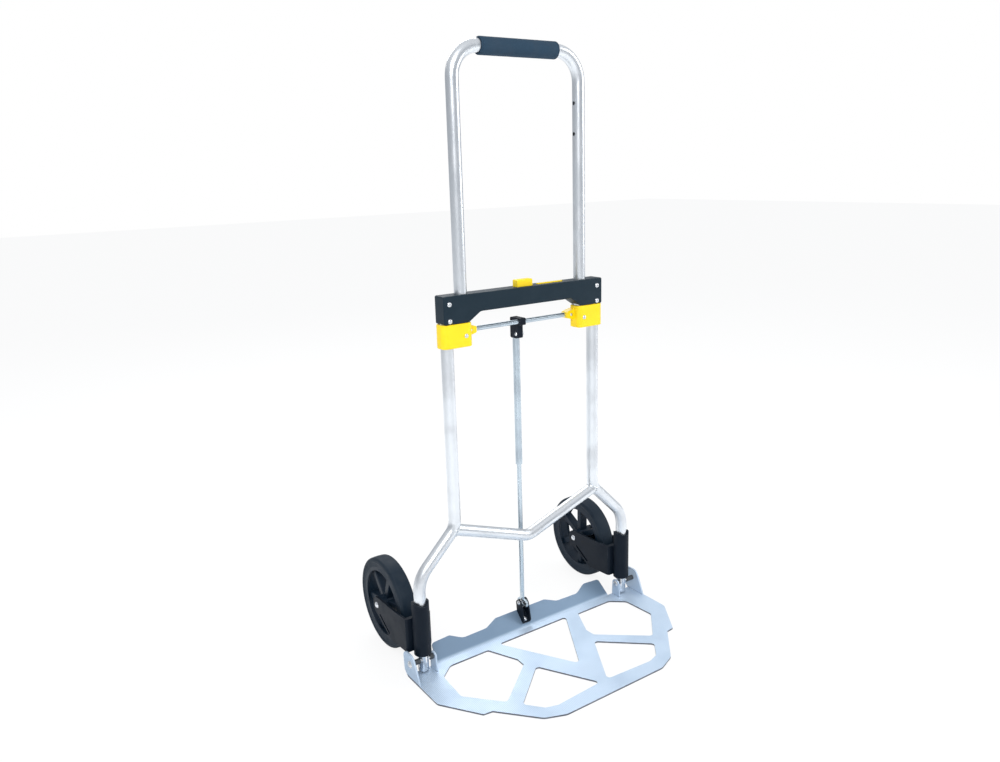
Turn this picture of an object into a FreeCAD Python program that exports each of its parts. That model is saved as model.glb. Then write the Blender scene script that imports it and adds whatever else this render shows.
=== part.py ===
import FreeCAD, Part
import math
import os
from FreeCAD import Vector

# A folding hand truck: a telescopic aluminium frame, a toe plate that folds up on the
# front, and two wheels on fork brackets that swing in behind it.
#
# Working frame, in millimetres: X to the right seen from the front, Y to the back,
# Z up, the floor at Z = 0, and Y = 0 in the plane of the tubes. Each piece is shifted
# along Y when it is saved, so that the origin is at the middle of the footprint.

# ---------------------------------------------------------------- driving dimensions
TUBE_OD = 22.0            # frame and handle tubes
TUBE_WALL = 1.5
FRAME_HALF = 161.0        # middle to the axis of a lower tube, above its bends
LEG_HALF = 240.0          # middle to the axis of a leg, below its bends
LEG_BEND_LOW = 184.0      # height of the corner where a leg turns inwards
LEG_BEND_RISE = 79.0      # further height to the corner where it turns upright again
LEG_RADIUS_LOW = 60.0
LEG_RADIUS_HIGH = 38.0
CROSS_DROP = 57.0         # how far the cross tube sags at its middle
CROSS_RADIUS = 34.0

HANDLE_HALF = 130.0       # middle to the axis of a handle tube
HANDLE_BAR_Z = 1075.0     # axis of the top bar
HANDLE_RADIUS = 50.0
HANDLE_TRAVEL = 276.0     # from fully out to the first lock hole
LOCK_HOLE_STEP = 52.0     # from the first lock hole to the second
LOCK_HOLE_R = 3.3

GRIP_LENGTH = 158.0
GRIP_OD = 29.0
GRIP_CHAMFER = 2.0

HOUSING_TOP = 680.0
HOUSING_END_HEIGHT = 48.0
HOUSING_MID_HEIGHT = 32.0
HOUSING_DEPTH = 30.0
HOUSING_OVERLAP = 11.5    # past the axis of a lower tube
HOUSING_ARCH = 38.0       # from the axis of a lower tube to the start of the arch
HOUSING_ARCH_RUN = 24.0
HOUSING_WALL = 3.0
HOUSING_ROUND = 2.0
GUIDE_BUSH_WALL = 2.5

BUTTON_LENGTH = 33.0
BUTTON_DEPTH = 14.0
BUTTON_RISE = 12.5        # above the top of the housing
BUTTON_TRAVEL = 5.0
BUTTON_SKIRT = 8.0        # below the top of the housing
BUTTON_STEM_END = 14.0    # below the top of the housing
SLOT_DEPTH = 10.0         # of the two slots in the top of the housing
LATCH_BAR_START = 32.0    # the yellow bar beside the button
LATCH_BAR_LENGTH = 56.0
LATCH_BAR_DEPTH = 5.0
LATCH_BAR_RISE = 1.8
LOCK_PIN_R = 3.0
LOCK_PIN_INNER = 27.0     # middle to the inner end of a lock pin
LOCK_COLLAR_R = 5.0
LOCK_COLLAR_BACK = 12.0   # inner end of the housing's ends to the collar
LOCK_SPRING_ROOM = 14.0   # between its rib and the collar
LOCK_PIN_DROP = 18.0      # below the top of the housing

SLIDER_HEIGHT = 41.0
SLIDER_WALL = 3.9
SLIDER_INNER = 13.5        # past the axis of a handle tube
SLIDER_GAP = 0.5          # below the housing
SOCKET_FLOOR = 7.0        # plastic under the end of a handle tube

CROSS_ROD_R = 4.3
CROSS_ROD_Y = 8.0
CROSS_ROD_DROP = 16.5     # below the top of a slider
LUG_LENGTH = 17.0
LUG_WALL = 3.2
LUG_RIVET_R = 1.6
LUG_RIVET_BACK = 5.0      # slider's inner face to the rivet

STRUT_TUBE_OD = 12.7
STRUT_TUBE_WALL = 0.9
STRUT_ROD_R = 4.3
STRUT_TUBE_LENGTH = 270.0
STRUT_OVERLAP = 72.0      # rod inside the strut tube at rest
STRUT_BUSH_LENGTH = 10.0
CLAMP_HALF = 5.5
CLAMP_HEIGHT = 38.0
CLAMP_WALL = 2.2
CLAMP_SCREW_R = 1.7
CLAMP_SCREW_RISE = 8.0
EYE_HALF_THICKNESS = 2.5
EYE_HEIGHT = 15.0
EYE_SLOT_LENGTH = 23.5
EYE_SLOT_HEIGHT = 8.6
EYE_FORWARD = 1.7         # the slot's middle in front of the pin
EYE_DROP = 0.45           # the slot's middle below the pin, which dips as it swings

PLATE_THICKNESS = 3.0
PLATE_HALF = 270.0        # middle to the outer side of the toe plate
PLATE_FRONT = 252.0       # tube plane to the front edge
PLATE_BACK = 5.0          # tube plane back to the bend of the rear flange
FLANGE_HALF = 208.0
FLANGE_LENGTH = 40.0
FLANGE_ANGLE = 45.0       # above the plate

HINGE_Y = -5.5
HINGE_Z = 30.0
HINGE_PIN_R = 3.0
EAR_INNER = 220.0         # middle to the inner ear of each pair
EAR_TOP = 50.0
EAR_INNER_TOP = 38.0

FOOT_R = 9.8
FOOT_BOTTOM = 6.0
FOOT_COLLAR_R = 13.5
FOOT_COLLAR_HEIGHT = 1.6
FOOT_PLUG_LENGTH = 30.0

SLEEVE_BOTTOM = 40.0
SLEEVE_LENGTH = 97.0
SLEEVE_HORN = 5.0         # height of the two horns on the rim of the sleeve
SLEEVE_WALL = 4.8
ARM_GAP = 43.0            # between the two arms of a fork
ARM_THICKNESS = 4.5
ARM_BOTTOM = 44.0
ARM_TOP = 109.0
FORK_FRONT = 13.0         # leg axis back to the front of the fork
FORK_WEB = 5.0
ARM_SLOT_R = 2.6
HUB_END_R = 15.0

WHEEL_R = 88.0
WHEEL_WIDTH = 32.0
WHEEL_TRAIL = 126.0       # tube plane back to the axle
TYRE_HEIGHT = 18.0
RIM_WIDTH = 29.0
RIM_RING = 8.0
SPOKE_COUNT = 6
SPOKE_WIDTH = 13.0
SPOKE_DEPTH = 18.0
SPOKE_TURN = {-1: 20.0, 1: 0.0}
HUB_R = 16.0
AXLE_R = 5.0
AXLE_HEAD_R = 6.0
AXLE_HEAD_HEIGHT = 3.0
BUSH_WALL = 3.0

SCREW_R = 2.0
SCREW_HEAD_R = 4.0
RIVET_R = 2.4
RIVET_HEAD_R = 4.3
HEAD_HEIGHT = 2.4

FIT = 0.05                # radial room round a fixed or turning pin
RUN = 0.3                 # room between pieces that slide past each other

# ---------------------------------------------------------------- worked-out places
TUBE_R = TUBE_OD / 2
TUBE_IR = TUBE_R - TUBE_WALL
LEG_BEND_HIGH = LEG_BEND_LOW + LEG_BEND_RISE
CROSS_END_Z = LEG_BEND_HIGH - 5.0
HOUSING_HALF = FRAME_HALF + HOUSING_OVERLAP
HOUSING_BOTTOM = HOUSING_TOP - HOUSING_END_HEIGHT
HOUSING_MID_BOTTOM = HOUSING_TOP - HOUSING_MID_HEIGHT
HOUSING_SIDE = HOUSING_DEPTH / 2
CAVITY_HALF = HANDLE_HALF - TUBE_R - 7.0
LOCK_PIN_Z = HOUSING_TOP - LOCK_PIN_DROP
GUIDE_BUSH_R = TUBE_R + RUN + GUIDE_BUSH_WALL
LOCK_COLLAR_X = CAVITY_HALF - LOCK_COLLAR_BACK
SPRING_STOP_X = LOCK_COLLAR_X - LOCK_SPRING_ROOM
SLIDER_TOP = HOUSING_BOTTOM - SLIDER_GAP
SLIDER_BOTTOM = SLIDER_TOP - SLIDER_HEIGHT
SLIDER_SIDE = TUBE_R + SLIDER_WALL
HANDLE_END_Z = SLIDER_BOTTOM + SOCKET_FLOOR
SLIDER_SCREW_Z = HANDLE_END_Z + 12.0
CROSS_ROD_Z = SLIDER_TOP - CROSS_ROD_DROP
RIVET_ROWS = (HOUSING_TOP - 14.0, HOUSING_BOTTOM + 5.5)

SLOPE = math.radians(FLANGE_ANGLE)
CLEVIS_PIN_S = 46.7       # along the flange from its bend to the clevis pin
CLEVIS_PIN_H = 19.8       # off the face of the flange
CLEVIS_PIN_R = 2.5
CLEVIS_HALF = 9.0
CLEVIS_WALL = 2.5
CLEVIS_WEB = 2.0
CLEVIS_START = 9.0
CLEVIS_ROUND = 6.5        # round the clevis pin
CLEVIS_RIVET_S = 17.0
STRUT_Y = PLATE_BACK + CLEVIS_PIN_S * math.cos(SLOPE) - CLEVIS_PIN_H * math.sin(SLOPE)
CLEVIS_PIN_Z = PLATE_THICKNESS + CLEVIS_PIN_S * math.sin(SLOPE) + CLEVIS_PIN_H * math.cos(SLOPE)
CLAMP_TOP = CROSS_ROD_Z + CROSS_ROD_R + CLAMP_WALL
CLAMP_BOTTOM = CLAMP_TOP - CLAMP_HEIGHT
CLAMP_SCREW_Y = STRUT_Y - STRUT_TUBE_OD / 2 - CLAMP_SCREW_R - 1.2
CLAMP_SCREW_Z = CLAMP_BOTTOM + CLAMP_SCREW_RISE
LUG_RIVET_X = HANDLE_HALF - SLIDER_INNER - LUG_RIVET_BACK
STRUT_TUBE_TOP = CROSS_ROD_Z - CROSS_ROD_R - 1.0
STRUT_TUBE_BOTTOM = STRUT_TUBE_TOP - STRUT_TUBE_LENGTH
STRUT_ROD_TOP = STRUT_TUBE_BOTTOM + STRUT_OVERLAP
STRUT_TANG_TOP = CLEVIS_PIN_Z + 22.0

SLEEVE_R = TUBE_R + SLEEVE_WALL
SLEEVE_TOP = SLEEVE_BOTTOM + SLEEVE_LENGTH
ARM_INNER = ARM_GAP / 2
ARM_OUTER = ARM_INNER + ARM_THICKNESS
EAR_OUTER = PLATE_HALF - PLATE_THICKNESS
TYRE_IR = WHEEL_R - TYRE_HEIGHT

# Middle of the footprint, from the front edge of the plate to the back of the wheels.
ORIGIN_Y = (WHEEL_TRAIL + WHEEL_R - PLATE_FRONT) / 2

SIDES = (("left", -1), ("right", 1))


# ---------------------------------------------------------------- shape helpers
def box(x, y, z):
    """A box from three (low, high) pairs."""
    corner = Vector(min(x), min(y), min(z))
    return Part.makeBox(abs(x[1] - x[0]), abs(y[1] - y[0]), abs(z[1] - z[0]), corner)


def rod_x(radius, x, y, z):
    """A cylinder along X between the two values of x."""
    return Part.makeCylinder(radius, abs(x[1] - x[0]), Vector(min(x), y, z), Vector(1, 0, 0))


def rod_y(radius, x, y, z):
    """A cylinder along Y between the two values of y."""
    return Part.makeCylinder(radius, abs(y[1] - y[0]), Vector(x, min(y), z), Vector(0, 1, 0))


def rod_z(radius, x, y, z):
    """A cylinder along Z between the two values of z."""
    return Part.makeCylinder(radius, abs(z[1] - z[0]), Vector(x, y, min(z)), Vector(0, 0, 1))


def dome(radius, height, base, direction):
    """A low rounded rivet or screw head that stands on base."""
    sphere_r = (radius ** 2 + height ** 2) / (2 * height)
    sphere = Part.makeSphere(sphere_r, base + direction * (height - sphere_r))
    slab = Part.makeCylinder(radius + 1.0, height + 1.0, base, direction)
    return sphere.common(slab)


def corner_arc(before, corner, after, radius):
    """The tangent arc that rounds a corner: its start, middle and end."""
    to_before = (before - corner).normalize()
    to_after = (after - corner).normalize()
    half = to_before.getAngle(to_after) / 2
    run = radius / math.tan(half)
    start = corner + to_before * run
    end = corner + to_after * run
    bisector = (to_before + to_after).normalize()
    middle = corner + bisector * (radius / math.sin(half) - radius)
    return start, middle, end


def rounded_face(points, place):
    """A flat face whose outline is a polygon with rounded corners.

    points is a list of (u, v, corner radius), and place turns (u, v) into a Vector.
    """
    corners = [place(u, v) for u, v, _ in points]
    arcs = []
    for index, (_, _, radius) in enumerate(points):
        before = corners[index - 1]
        after = corners[(index + 1) % len(corners)]
        if radius:
            arcs.append(corner_arc(before, corners[index], after, radius))
        else:
            arcs.append((corners[index], None, corners[index]))
    edges = []
    for index, (start, middle, end) in enumerate(arcs):
        if middle is not None:
            edges.append(Part.Arc(start, middle, end).toShape())
        following = arcs[(index + 1) % len(arcs)][0]
        edges.append(Part.LineSegment(end, following).toShape())
    return Part.Face(Part.Wire(edges))


def mirrored(points):
    """A closed outline from its right half, which starts and ends at the middle."""
    left = [(-u, v, radius) for u, v, radius in reversed(points)]
    return points + left


def bent_path(points, radii):
    """A wire of straight runs joined by tangent arcs."""
    edges = []
    last = points[0]
    for index, radius in enumerate(radii, start=1):
        start, middle, end = corner_arc(points[index - 1], points[index], points[index + 1], radius)
        edges.append(Part.LineSegment(last, start).toShape())
        edges.append(Part.Arc(start, middle, end).toShape())
        last = end
    edges.append(Part.LineSegment(last, points[-1]).toShape())
    return Part.Wire(edges)


def sweep(points, radii, radius):
    """A round bar along a bent path."""
    path = bent_path(points, radii)
    direction = points[1] - points[0]
    circle = Part.Wire([Part.makeCircle(radius, points[0], direction)])
    return path.makePipeShell([circle], True, True)


def spring(radius, wire_r, length, turns):
    """A coil spring along Z that stands on the origin."""
    pitch = (length - 2 * wire_r) / turns
    helix = Part.makeHelix(pitch, pitch * turns, radius)
    circle = Part.Wire([Part.makeCircle(wire_r, Vector(radius, 0, 0), Vector(0, 1, 0))])
    coil = Part.Wire(helix.Edges).makePipeShell([circle], True, True)
    coil.translate(Vector(0, 0, wire_r))
    return coil


def rounded_edges(shape, radius, wanted):
    """The shape with the edges that wanted() picks rounded off."""
    edges = [edge for edge in shape.Edges if wanted(edge)]
    return shape.makeFillet(radius, edges)


def on_plane(edge, axis, value):
    """Whether an edge lies in the plane where the given axis has this value."""
    low = getattr(edge.BoundBox, axis + "Min")
    high = getattr(edge.BoundBox, axis + "Max")
    return abs(low - value) < 0.01 and abs(high - value) < 0.01


# ---------------------------------------------------------------- fixed frame
def leg_points(side):
    """The corners of one lower tube's axis, from its foot to its top."""
    leg_x = side * LEG_HALF
    top_x = side * FRAME_HALF
    return [
        Vector(leg_x, 0, SLEEVE_BOTTOM),
        Vector(leg_x, 0, LEG_BEND_LOW),
        Vector(top_x, 0, LEG_BEND_HIGH),
        Vector(top_x, 0, HOUSING_TOP - HOUSING_WALL - 1.0),
    ]


def lower_tube(side):
    """One bent lower tube: upright in the housing, out to the leg, upright again."""
    radii = (LEG_RADIUS_LOW, LEG_RADIUS_HIGH)
    outer = sweep(leg_points(side), radii, TUBE_R)
    inner = sweep(leg_points(side), radii, TUBE_IR)
    tube = outer.cut(inner)
    for z in RIVET_ROWS:
        tube = tube.cut(rod_y(RIVET_R + FIT, side * FRAME_HALF, (-TUBE_OD, TUBE_OD), z))
    return tube


def lower_cross_tube():
    """The V-shaped tube between the lower tubes, coped to fit against them."""
    points = [
        Vector(-FRAME_HALF, 0, CROSS_END_Z),
        Vector(0, 0, CROSS_END_Z - CROSS_DROP),
        Vector(FRAME_HALF, 0, CROSS_END_Z),
    ]
    tube = sweep(points, (CROSS_RADIUS,), TUBE_R).cut(sweep(points, (CROSS_RADIUS,), TUBE_IR))
    for _, side in SIDES:
        tube = tube.cut(sweep(leg_points(side), (LEG_RADIUS_LOW, LEG_RADIUS_HIGH), TUBE_R))
    return max(tube.Solids, key=lambda solid: solid.Volume)


def leg_foot(side):
    """The plated foot: a plug in the tube, a collar, and a stub for the hinge pin."""
    x = side * LEG_HALF
    collar_bottom = SLEEVE_BOTTOM - FOOT_COLLAR_HEIGHT
    foot = rod_z(TUBE_IR - FIT, x, 0, (collar_bottom, SLEEVE_BOTTOM + FOOT_PLUG_LENGTH))
    foot = foot.fuse(rod_z(FOOT_COLLAR_R, x, 0, (collar_bottom, SLEEVE_BOTTOM)))
    foot = foot.fuse(rod_z(FOOT_R, x, 0, (FOOT_BOTTOM, SLEEVE_BOTTOM)))
    ends = (x - FOOT_R - 1.0, x + FOOT_R + 1.0)
    foot = rounded_edges(
        foot.removeSplitter(), 2.0, lambda edge: on_plane(edge, "Z", FOOT_BOTTOM))
    return foot.cut(rod_x(HINGE_PIN_R + FIT, ends, HINGE_Y, HINGE_Z))


# ---------------------------------------------------------------- crossbar housing
def housing_outline():
    """The front outline of the housing, with its low ends and its arch."""
    arch_start = FRAME_HALF - HOUSING_ARCH
    arch_end = arch_start - HOUSING_ARCH_RUN
    half = [
        (arch_end, HOUSING_MID_BOTTOM, 14.0),
        (arch_start, HOUSING_BOTTOM, 9.0),
        (HOUSING_HALF, HOUSING_BOTTOM, 3.0),
        (HOUSING_HALF, HOUSING_TOP, 3.0),
    ]
    return mirrored(half)


def housing_block():
    """The whole housing before it is split: hollow in the middle, solid at its ends."""
    face = rounded_face(housing_outline(), lambda u, v: Vector(u, -HOUSING_SIDE, v))
    block = face.extrude(Vector(0, HOUSING_DEPTH, 0))
    block = rounded_edges(
        block, HOUSING_ROUND,
        lambda edge: on_plane(edge, "Y", -HOUSING_SIDE) or on_plane(edge, "Y", HOUSING_SIDE))
    room = HOUSING_SIDE - HOUSING_WALL
    hollow = box(
        (-CAVITY_HALF, CAVITY_HALF), (-room, room),
        (HOUSING_MID_BOTTOM + HOUSING_WALL, HOUSING_TOP - HOUSING_WALL))
    block = block.cut(hollow)
    button_slot = box(
        (-BUTTON_LENGTH / 2 - RUN, BUTTON_LENGTH / 2 + RUN),
        (-BUTTON_DEPTH / 2 - RUN, BUTTON_DEPTH / 2 + RUN),
        (HOUSING_TOP - SLOT_DEPTH, HOUSING_TOP + 1.0))
    bar_slot = box(
        (LATCH_BAR_START - RUN, LATCH_BAR_START + LATCH_BAR_LENGTH + RUN),
        (-LATCH_BAR_DEPTH / 2 - RUN, LATCH_BAR_DEPTH / 2 + RUN),
        (HOUSING_TOP - SLOT_DEPTH, HOUSING_TOP + 1.0))
    block = block.cut(button_slot).cut(bar_slot)
    for _, side in SIDES:
        block = block.cut(housing_holes(side))
        block = block.fuse(spring_stop(side))
    return block


def housing_holes(side):
    """The holes at one end: both tubes, the guide bush, the lock pin and two rivets."""
    tall = (HOUSING_BOTTOM - 1.0, HOUSING_TOP + 1.0)
    bush_z = (HOUSING_BOTTOM + HOUSING_WALL, HOUSING_TOP - HOUSING_WALL)
    holes = rod_z(
        TUBE_R + FIT, side * FRAME_HALF, 0, (tall[0], HOUSING_TOP - HOUSING_WALL - 1.0))
    holes = holes.fuse(rod_z(TUBE_R + RUN + 0.2, side * HANDLE_HALF, 0, tall))
    holes = holes.fuse(rod_z(GUIDE_BUSH_R + FIT, side * HANDLE_HALF, 0, bush_z))
    pin_x = (side * (CAVITY_HALF - 1.0), side * HANDLE_HALF)
    holes = holes.fuse(rod_x(LOCK_PIN_R + FIT, pin_x, 0, LOCK_PIN_Z))
    for z in RIVET_ROWS:
        across = (-HOUSING_SIDE - 1.0, HOUSING_SIDE + 1.0)
        holes = holes.fuse(rod_y(RIVET_R + FIT, side * FRAME_HALF, across, z))
    return holes


def spring_stop(side):
    """The rib inside the housing that a lock spring pushes against."""
    room = HOUSING_SIDE - HOUSING_WALL
    rib = box(
        (side * (SPRING_STOP_X - 3.0), side * SPRING_STOP_X), (-room, room),
        (HOUSING_MID_BOTTOM + HOUSING_WALL, LOCK_PIN_Z + 4.0))
    return rib.cut(rod_x(
        LOCK_PIN_R + FIT, (side * (SPRING_STOP_X - 4.0), side * (SPRING_STOP_X + 1.0)),
        0, LOCK_PIN_Z))


def housing_shell(back):
    """The front or the back half of the housing."""
    wide = (-HOUSING_HALF - 1.0, HOUSING_HALF + 1.0)
    tall = (HOUSING_BOTTOM - 1.0, HOUSING_TOP + 1.0)
    depth = (0.0, HOUSING_DEPTH) if back else (-HOUSING_DEPTH, 0.0)
    return housing_block().common(box(wide, depth, tall))


def housing_rivets():
    """Four rivets through both shells and the tops of the lower tubes."""
    rivets = []
    for _, side in SIDES:
        for z in RIVET_ROWS:
            x = side * FRAME_HALF
            rivet = rod_y(RIVET_R, x, (-HOUSING_SIDE, HOUSING_SIDE), z)
            for way in (-1, 1):
                base = Vector(x, way * HOUSING_SIDE, z)
                rivet = rivet.fuse(dome(RIVET_HEAD_R, HEAD_HEIGHT, base, Vector(0, way, 0)))
            rivets.append(rivet)
    return Part.makeCompound(rivets)


def guide_bush(side):
    """The plastic bush that guides a handle tube inside the housing."""
    z = (HOUSING_BOTTOM + HOUSING_WALL, HOUSING_TOP - HOUSING_WALL)
    bush = rod_z(GUIDE_BUSH_R, side * HANDLE_HALF, 0, z)
    bush = bush.cut(rod_z(TUBE_R + RUN, side * HANDLE_HALF, 0, z))
    inner = (side * (CAVITY_HALF - 1.0), side * HANDLE_HALF)
    return bush.cut(rod_x(LOCK_PIN_R + FIT, inner, 0, LOCK_PIN_Z))


# ---------------------------------------------------------------- release button
def release_button():
    """The yellow button: a cap in its slot, a stem on its spring and a bridge to the bar."""
    skirt_z = HOUSING_TOP - BUTTON_SKIRT
    cap = box(
        (-BUTTON_LENGTH / 2, BUTTON_LENGTH / 2), (-BUTTON_DEPTH / 2, BUTTON_DEPTH / 2),
        (skirt_z, HOUSING_TOP + BUTTON_RISE))
    top = HOUSING_TOP + BUTTON_RISE
    cap = rounded_edges(cap, 2.5, lambda edge: on_plane(edge, "Z", top))
    stem_half = BUTTON_DEPTH / 2
    stem = box(
        (-stem_half, stem_half), (-stem_half, stem_half),
        (HOUSING_TOP - BUTTON_STEM_END, skirt_z))
    bridge = box(
        (BUTTON_LENGTH / 2, LATCH_BAR_START), (-2.0, 2.0),
        (skirt_z, HOUSING_TOP - HOUSING_WALL - RUN))
    return cap.fuse(stem).fuse(bridge).removeSplitter()


def latch_bar():
    """The yellow bar that shows in the slot beside the button and moves with it."""
    bar = box(
        (LATCH_BAR_START, LATCH_BAR_START + LATCH_BAR_LENGTH),
        (-LATCH_BAR_DEPTH / 2, LATCH_BAR_DEPTH / 2),
        (HOUSING_TOP - BUTTON_SKIRT, HOUSING_TOP + LATCH_BAR_RISE))
    top = HOUSING_TOP + LATCH_BAR_RISE
    return rounded_edges(bar, 1.0, lambda edge: on_plane(edge, "Z", top))


def button_spring():
    """The coil under the button."""
    floor = HOUSING_MID_BOTTOM + HOUSING_WALL
    coil = spring(5.0, 0.6, HOUSING_TOP - BUTTON_STEM_END - floor, 5)
    coil.translate(Vector(0, 0, floor))
    return coil


def lock_pin(side):
    """A long pin whose tip locks a handle tube, with a collar for its spring."""
    tip = HANDLE_HALF - TUBE_R - RUN
    pin = rod_x(LOCK_PIN_R, (side * LOCK_PIN_INNER, side * tip), 0, LOCK_PIN_Z)
    collar = (side * LOCK_COLLAR_X, side * (LOCK_COLLAR_X + 2.5))
    return pin.fuse(rod_x(LOCK_COLLAR_R, collar, 0, LOCK_PIN_Z))


def lock_spring(side):
    """The coil behind a lock pin, as long as it is with the button pressed."""
    length = LOCK_SPRING_ROOM - BUTTON_TRAVEL - RUN
    coil = spring(LOCK_PIN_R + 1.2, 0.5, length, 4)
    coil.rotate(Vector(0, 0, 0), Vector(0, 1, 0), 90.0)
    start = SPRING_STOP_X if side > 0 else -SPRING_STOP_X - length
    coil.translate(Vector(start, 0, LOCK_PIN_Z))
    return coil


# ---------------------------------------------------------------- telescopic handle
def handle_tube():
    """The U-shaped handle, with its lock holes and screw holes."""
    points = [
        Vector(-HANDLE_HALF, 0, HANDLE_END_Z),
        Vector(-HANDLE_HALF, 0, HANDLE_BAR_Z),
        Vector(HANDLE_HALF, 0, HANDLE_BAR_Z),
        Vector(HANDLE_HALF, 0, HANDLE_END_Z),
    ]
    radii = (HANDLE_RADIUS, HANDLE_RADIUS)
    tube = sweep(points, radii, TUBE_R).cut(sweep(points, radii, TUBE_IR))
    travels = (0.0, HANDLE_TRAVEL, HANDLE_TRAVEL + LOCK_HOLE_STEP)
    for _, side in SIDES:
        inside = (side * (HANDLE_HALF - TUBE_OD), side * HANDLE_HALF)
        for travel in travels:
            tube = tube.cut(rod_x(LOCK_HOLE_R, inside, 0, LOCK_PIN_Z + travel))
        screw = rod_y(SCREW_R + FIT, side * HANDLE_HALF, (-TUBE_OD, 0), SLIDER_SCREW_Z)
        tube = tube.cut(screw)
    return tube


def foam_grip():
    """The foam sleeve on the top bar."""
    x = (-GRIP_LENGTH / 2, GRIP_LENGTH / 2)
    grip = rod_x(GRIP_OD / 2, x, 0, HANDLE_BAR_Z)
    grip = grip.makeChamfer(GRIP_CHAMFER, [e for e in grip.Edges if e.Length > GRIP_LENGTH / 2
                                          and (on_plane(e, "X", x[0]) or on_plane(e, "X", x[1]))])
    return grip.cut(rod_x(TUBE_R + FIT, x, 0, HANDLE_BAR_Z))


def slider(side):
    """The yellow slider: fixed to a handle tube's end, running on a lower tube."""
    outer = FRAME_HALF + SLIDER_SIDE
    inner = HANDLE_HALF - SLIDER_INNER
    outline = [
        (side * inner, -SLIDER_SIDE, 8.0),
        (side * outer, -SLIDER_SIDE, 11.0),
        (side * outer, SLIDER_SIDE, 11.0),
        (side * inner, SLIDER_SIDE, 8.0),
    ]
    face = rounded_face(outline, lambda u, v: Vector(u, v, SLIDER_BOTTOM))
    body = face.extrude(Vector(0, 0, SLIDER_HEIGHT))
    body = rounded_edges(
        body, 1.5, lambda e: on_plane(e, "Z", SLIDER_BOTTOM) or on_plane(e, "Z", SLIDER_TOP))
    body = body.fuse(slider_lug(side, inner))
    tall = (SLIDER_BOTTOM - 1.0, SLIDER_TOP + 1.0)
    body = body.cut(rod_z(TUBE_R + RUN, side * FRAME_HALF, 0, tall))
    body = body.cut(rod_z(TUBE_R + FIT, side * HANDLE_HALF, 0, (HANDLE_END_Z, SLIDER_TOP + 1.0)))
    body = body.cut(rod_y(
        SCREW_R + FIT, side * HANDLE_HALF, (-SLIDER_SIDE - 1.0, 0), SLIDER_SCREW_Z))
    rod_end = (side * (inner - LUG_LENGTH - 1.0), side * (inner - 0.5))
    body = body.cut(rod_x(CROSS_ROD_R + FIT, rod_end, CROSS_ROD_Y, CROSS_ROD_Z))
    body = body.cut(lug_rivet_shank(side, FIT))
    return max(body.Solids, key=lambda solid: solid.Volume)


def slider_lug(side, inner):
    """The tapered lug that holds an end of the cross rod."""
    wide = CROSS_ROD_R + LUG_WALL
    outline = [
        (side * (inner + 4.0), CROSS_ROD_Z - 10.0, 0),
        (side * (inner + 4.0), CROSS_ROD_Z + 10.0, 0),
        (side * inner, CROSS_ROD_Z + 10.0, 2.0),
        (side * (inner - LUG_LENGTH), CROSS_ROD_Z + 5.5, 3.0),
        (side * (inner - LUG_LENGTH), CROSS_ROD_Z - 5.5, 3.0),
        (side * inner, CROSS_ROD_Z - 10.0, 2.0),
    ]
    face = rounded_face(outline, lambda u, v: Vector(u, CROSS_ROD_Y - wide, v))
    return face.extrude(Vector(0, 2 * wide, 0))


def lug_rivet_shank(side, room):
    """The straight part of a lug rivet, with room round it."""
    wide = CROSS_ROD_R + LUG_WALL
    ends = (CROSS_ROD_Y - wide, CROSS_ROD_Y + wide)
    return rod_y(LUG_RIVET_R + room, side * LUG_RIVET_X, ends, CROSS_ROD_Z)


def lug_rivets():
    """Two rivets through the lugs and the ends of the cross rod."""
    rivets = []
    for _, side in SIDES:
        base = Vector(side * LUG_RIVET_X, CROSS_ROD_Y - CROSS_ROD_R - LUG_WALL, CROSS_ROD_Z)
        head = dome(3.0, 1.8, base, Vector(0, -1, 0))
        rivets.append(lug_rivet_shank(side, 0.0).fuse(head))
    return Part.makeCompound(rivets)


def slider_screws():
    """Two screws that hold the sliders on the handle tubes."""
    screws = []
    for _, side in SIDES:
        x = side * HANDLE_HALF
        shank = rod_y(SCREW_R, x, (-SLIDER_SIDE, -TUBE_IR + 1.0), SLIDER_SCREW_Z)
        head = dome(SCREW_HEAD_R, HEAD_HEIGHT, Vector(x, -SLIDER_SIDE, SLIDER_SCREW_Z),
                    Vector(0, -1, 0))
        screws.append(shank.fuse(head))
    return Part.makeCompound(screws)


def cross_rod():
    """The thin rod between the sliders."""
    end = HANDLE_HALF - SLIDER_INNER - 0.5
    rod = rod_x(CROSS_ROD_R, (-end, end), CROSS_ROD_Y, CROSS_ROD_Z)
    for _, side in SIDES:
        rod = rod.cut(lug_rivet_shank(side, FIT))
    return rod


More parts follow.
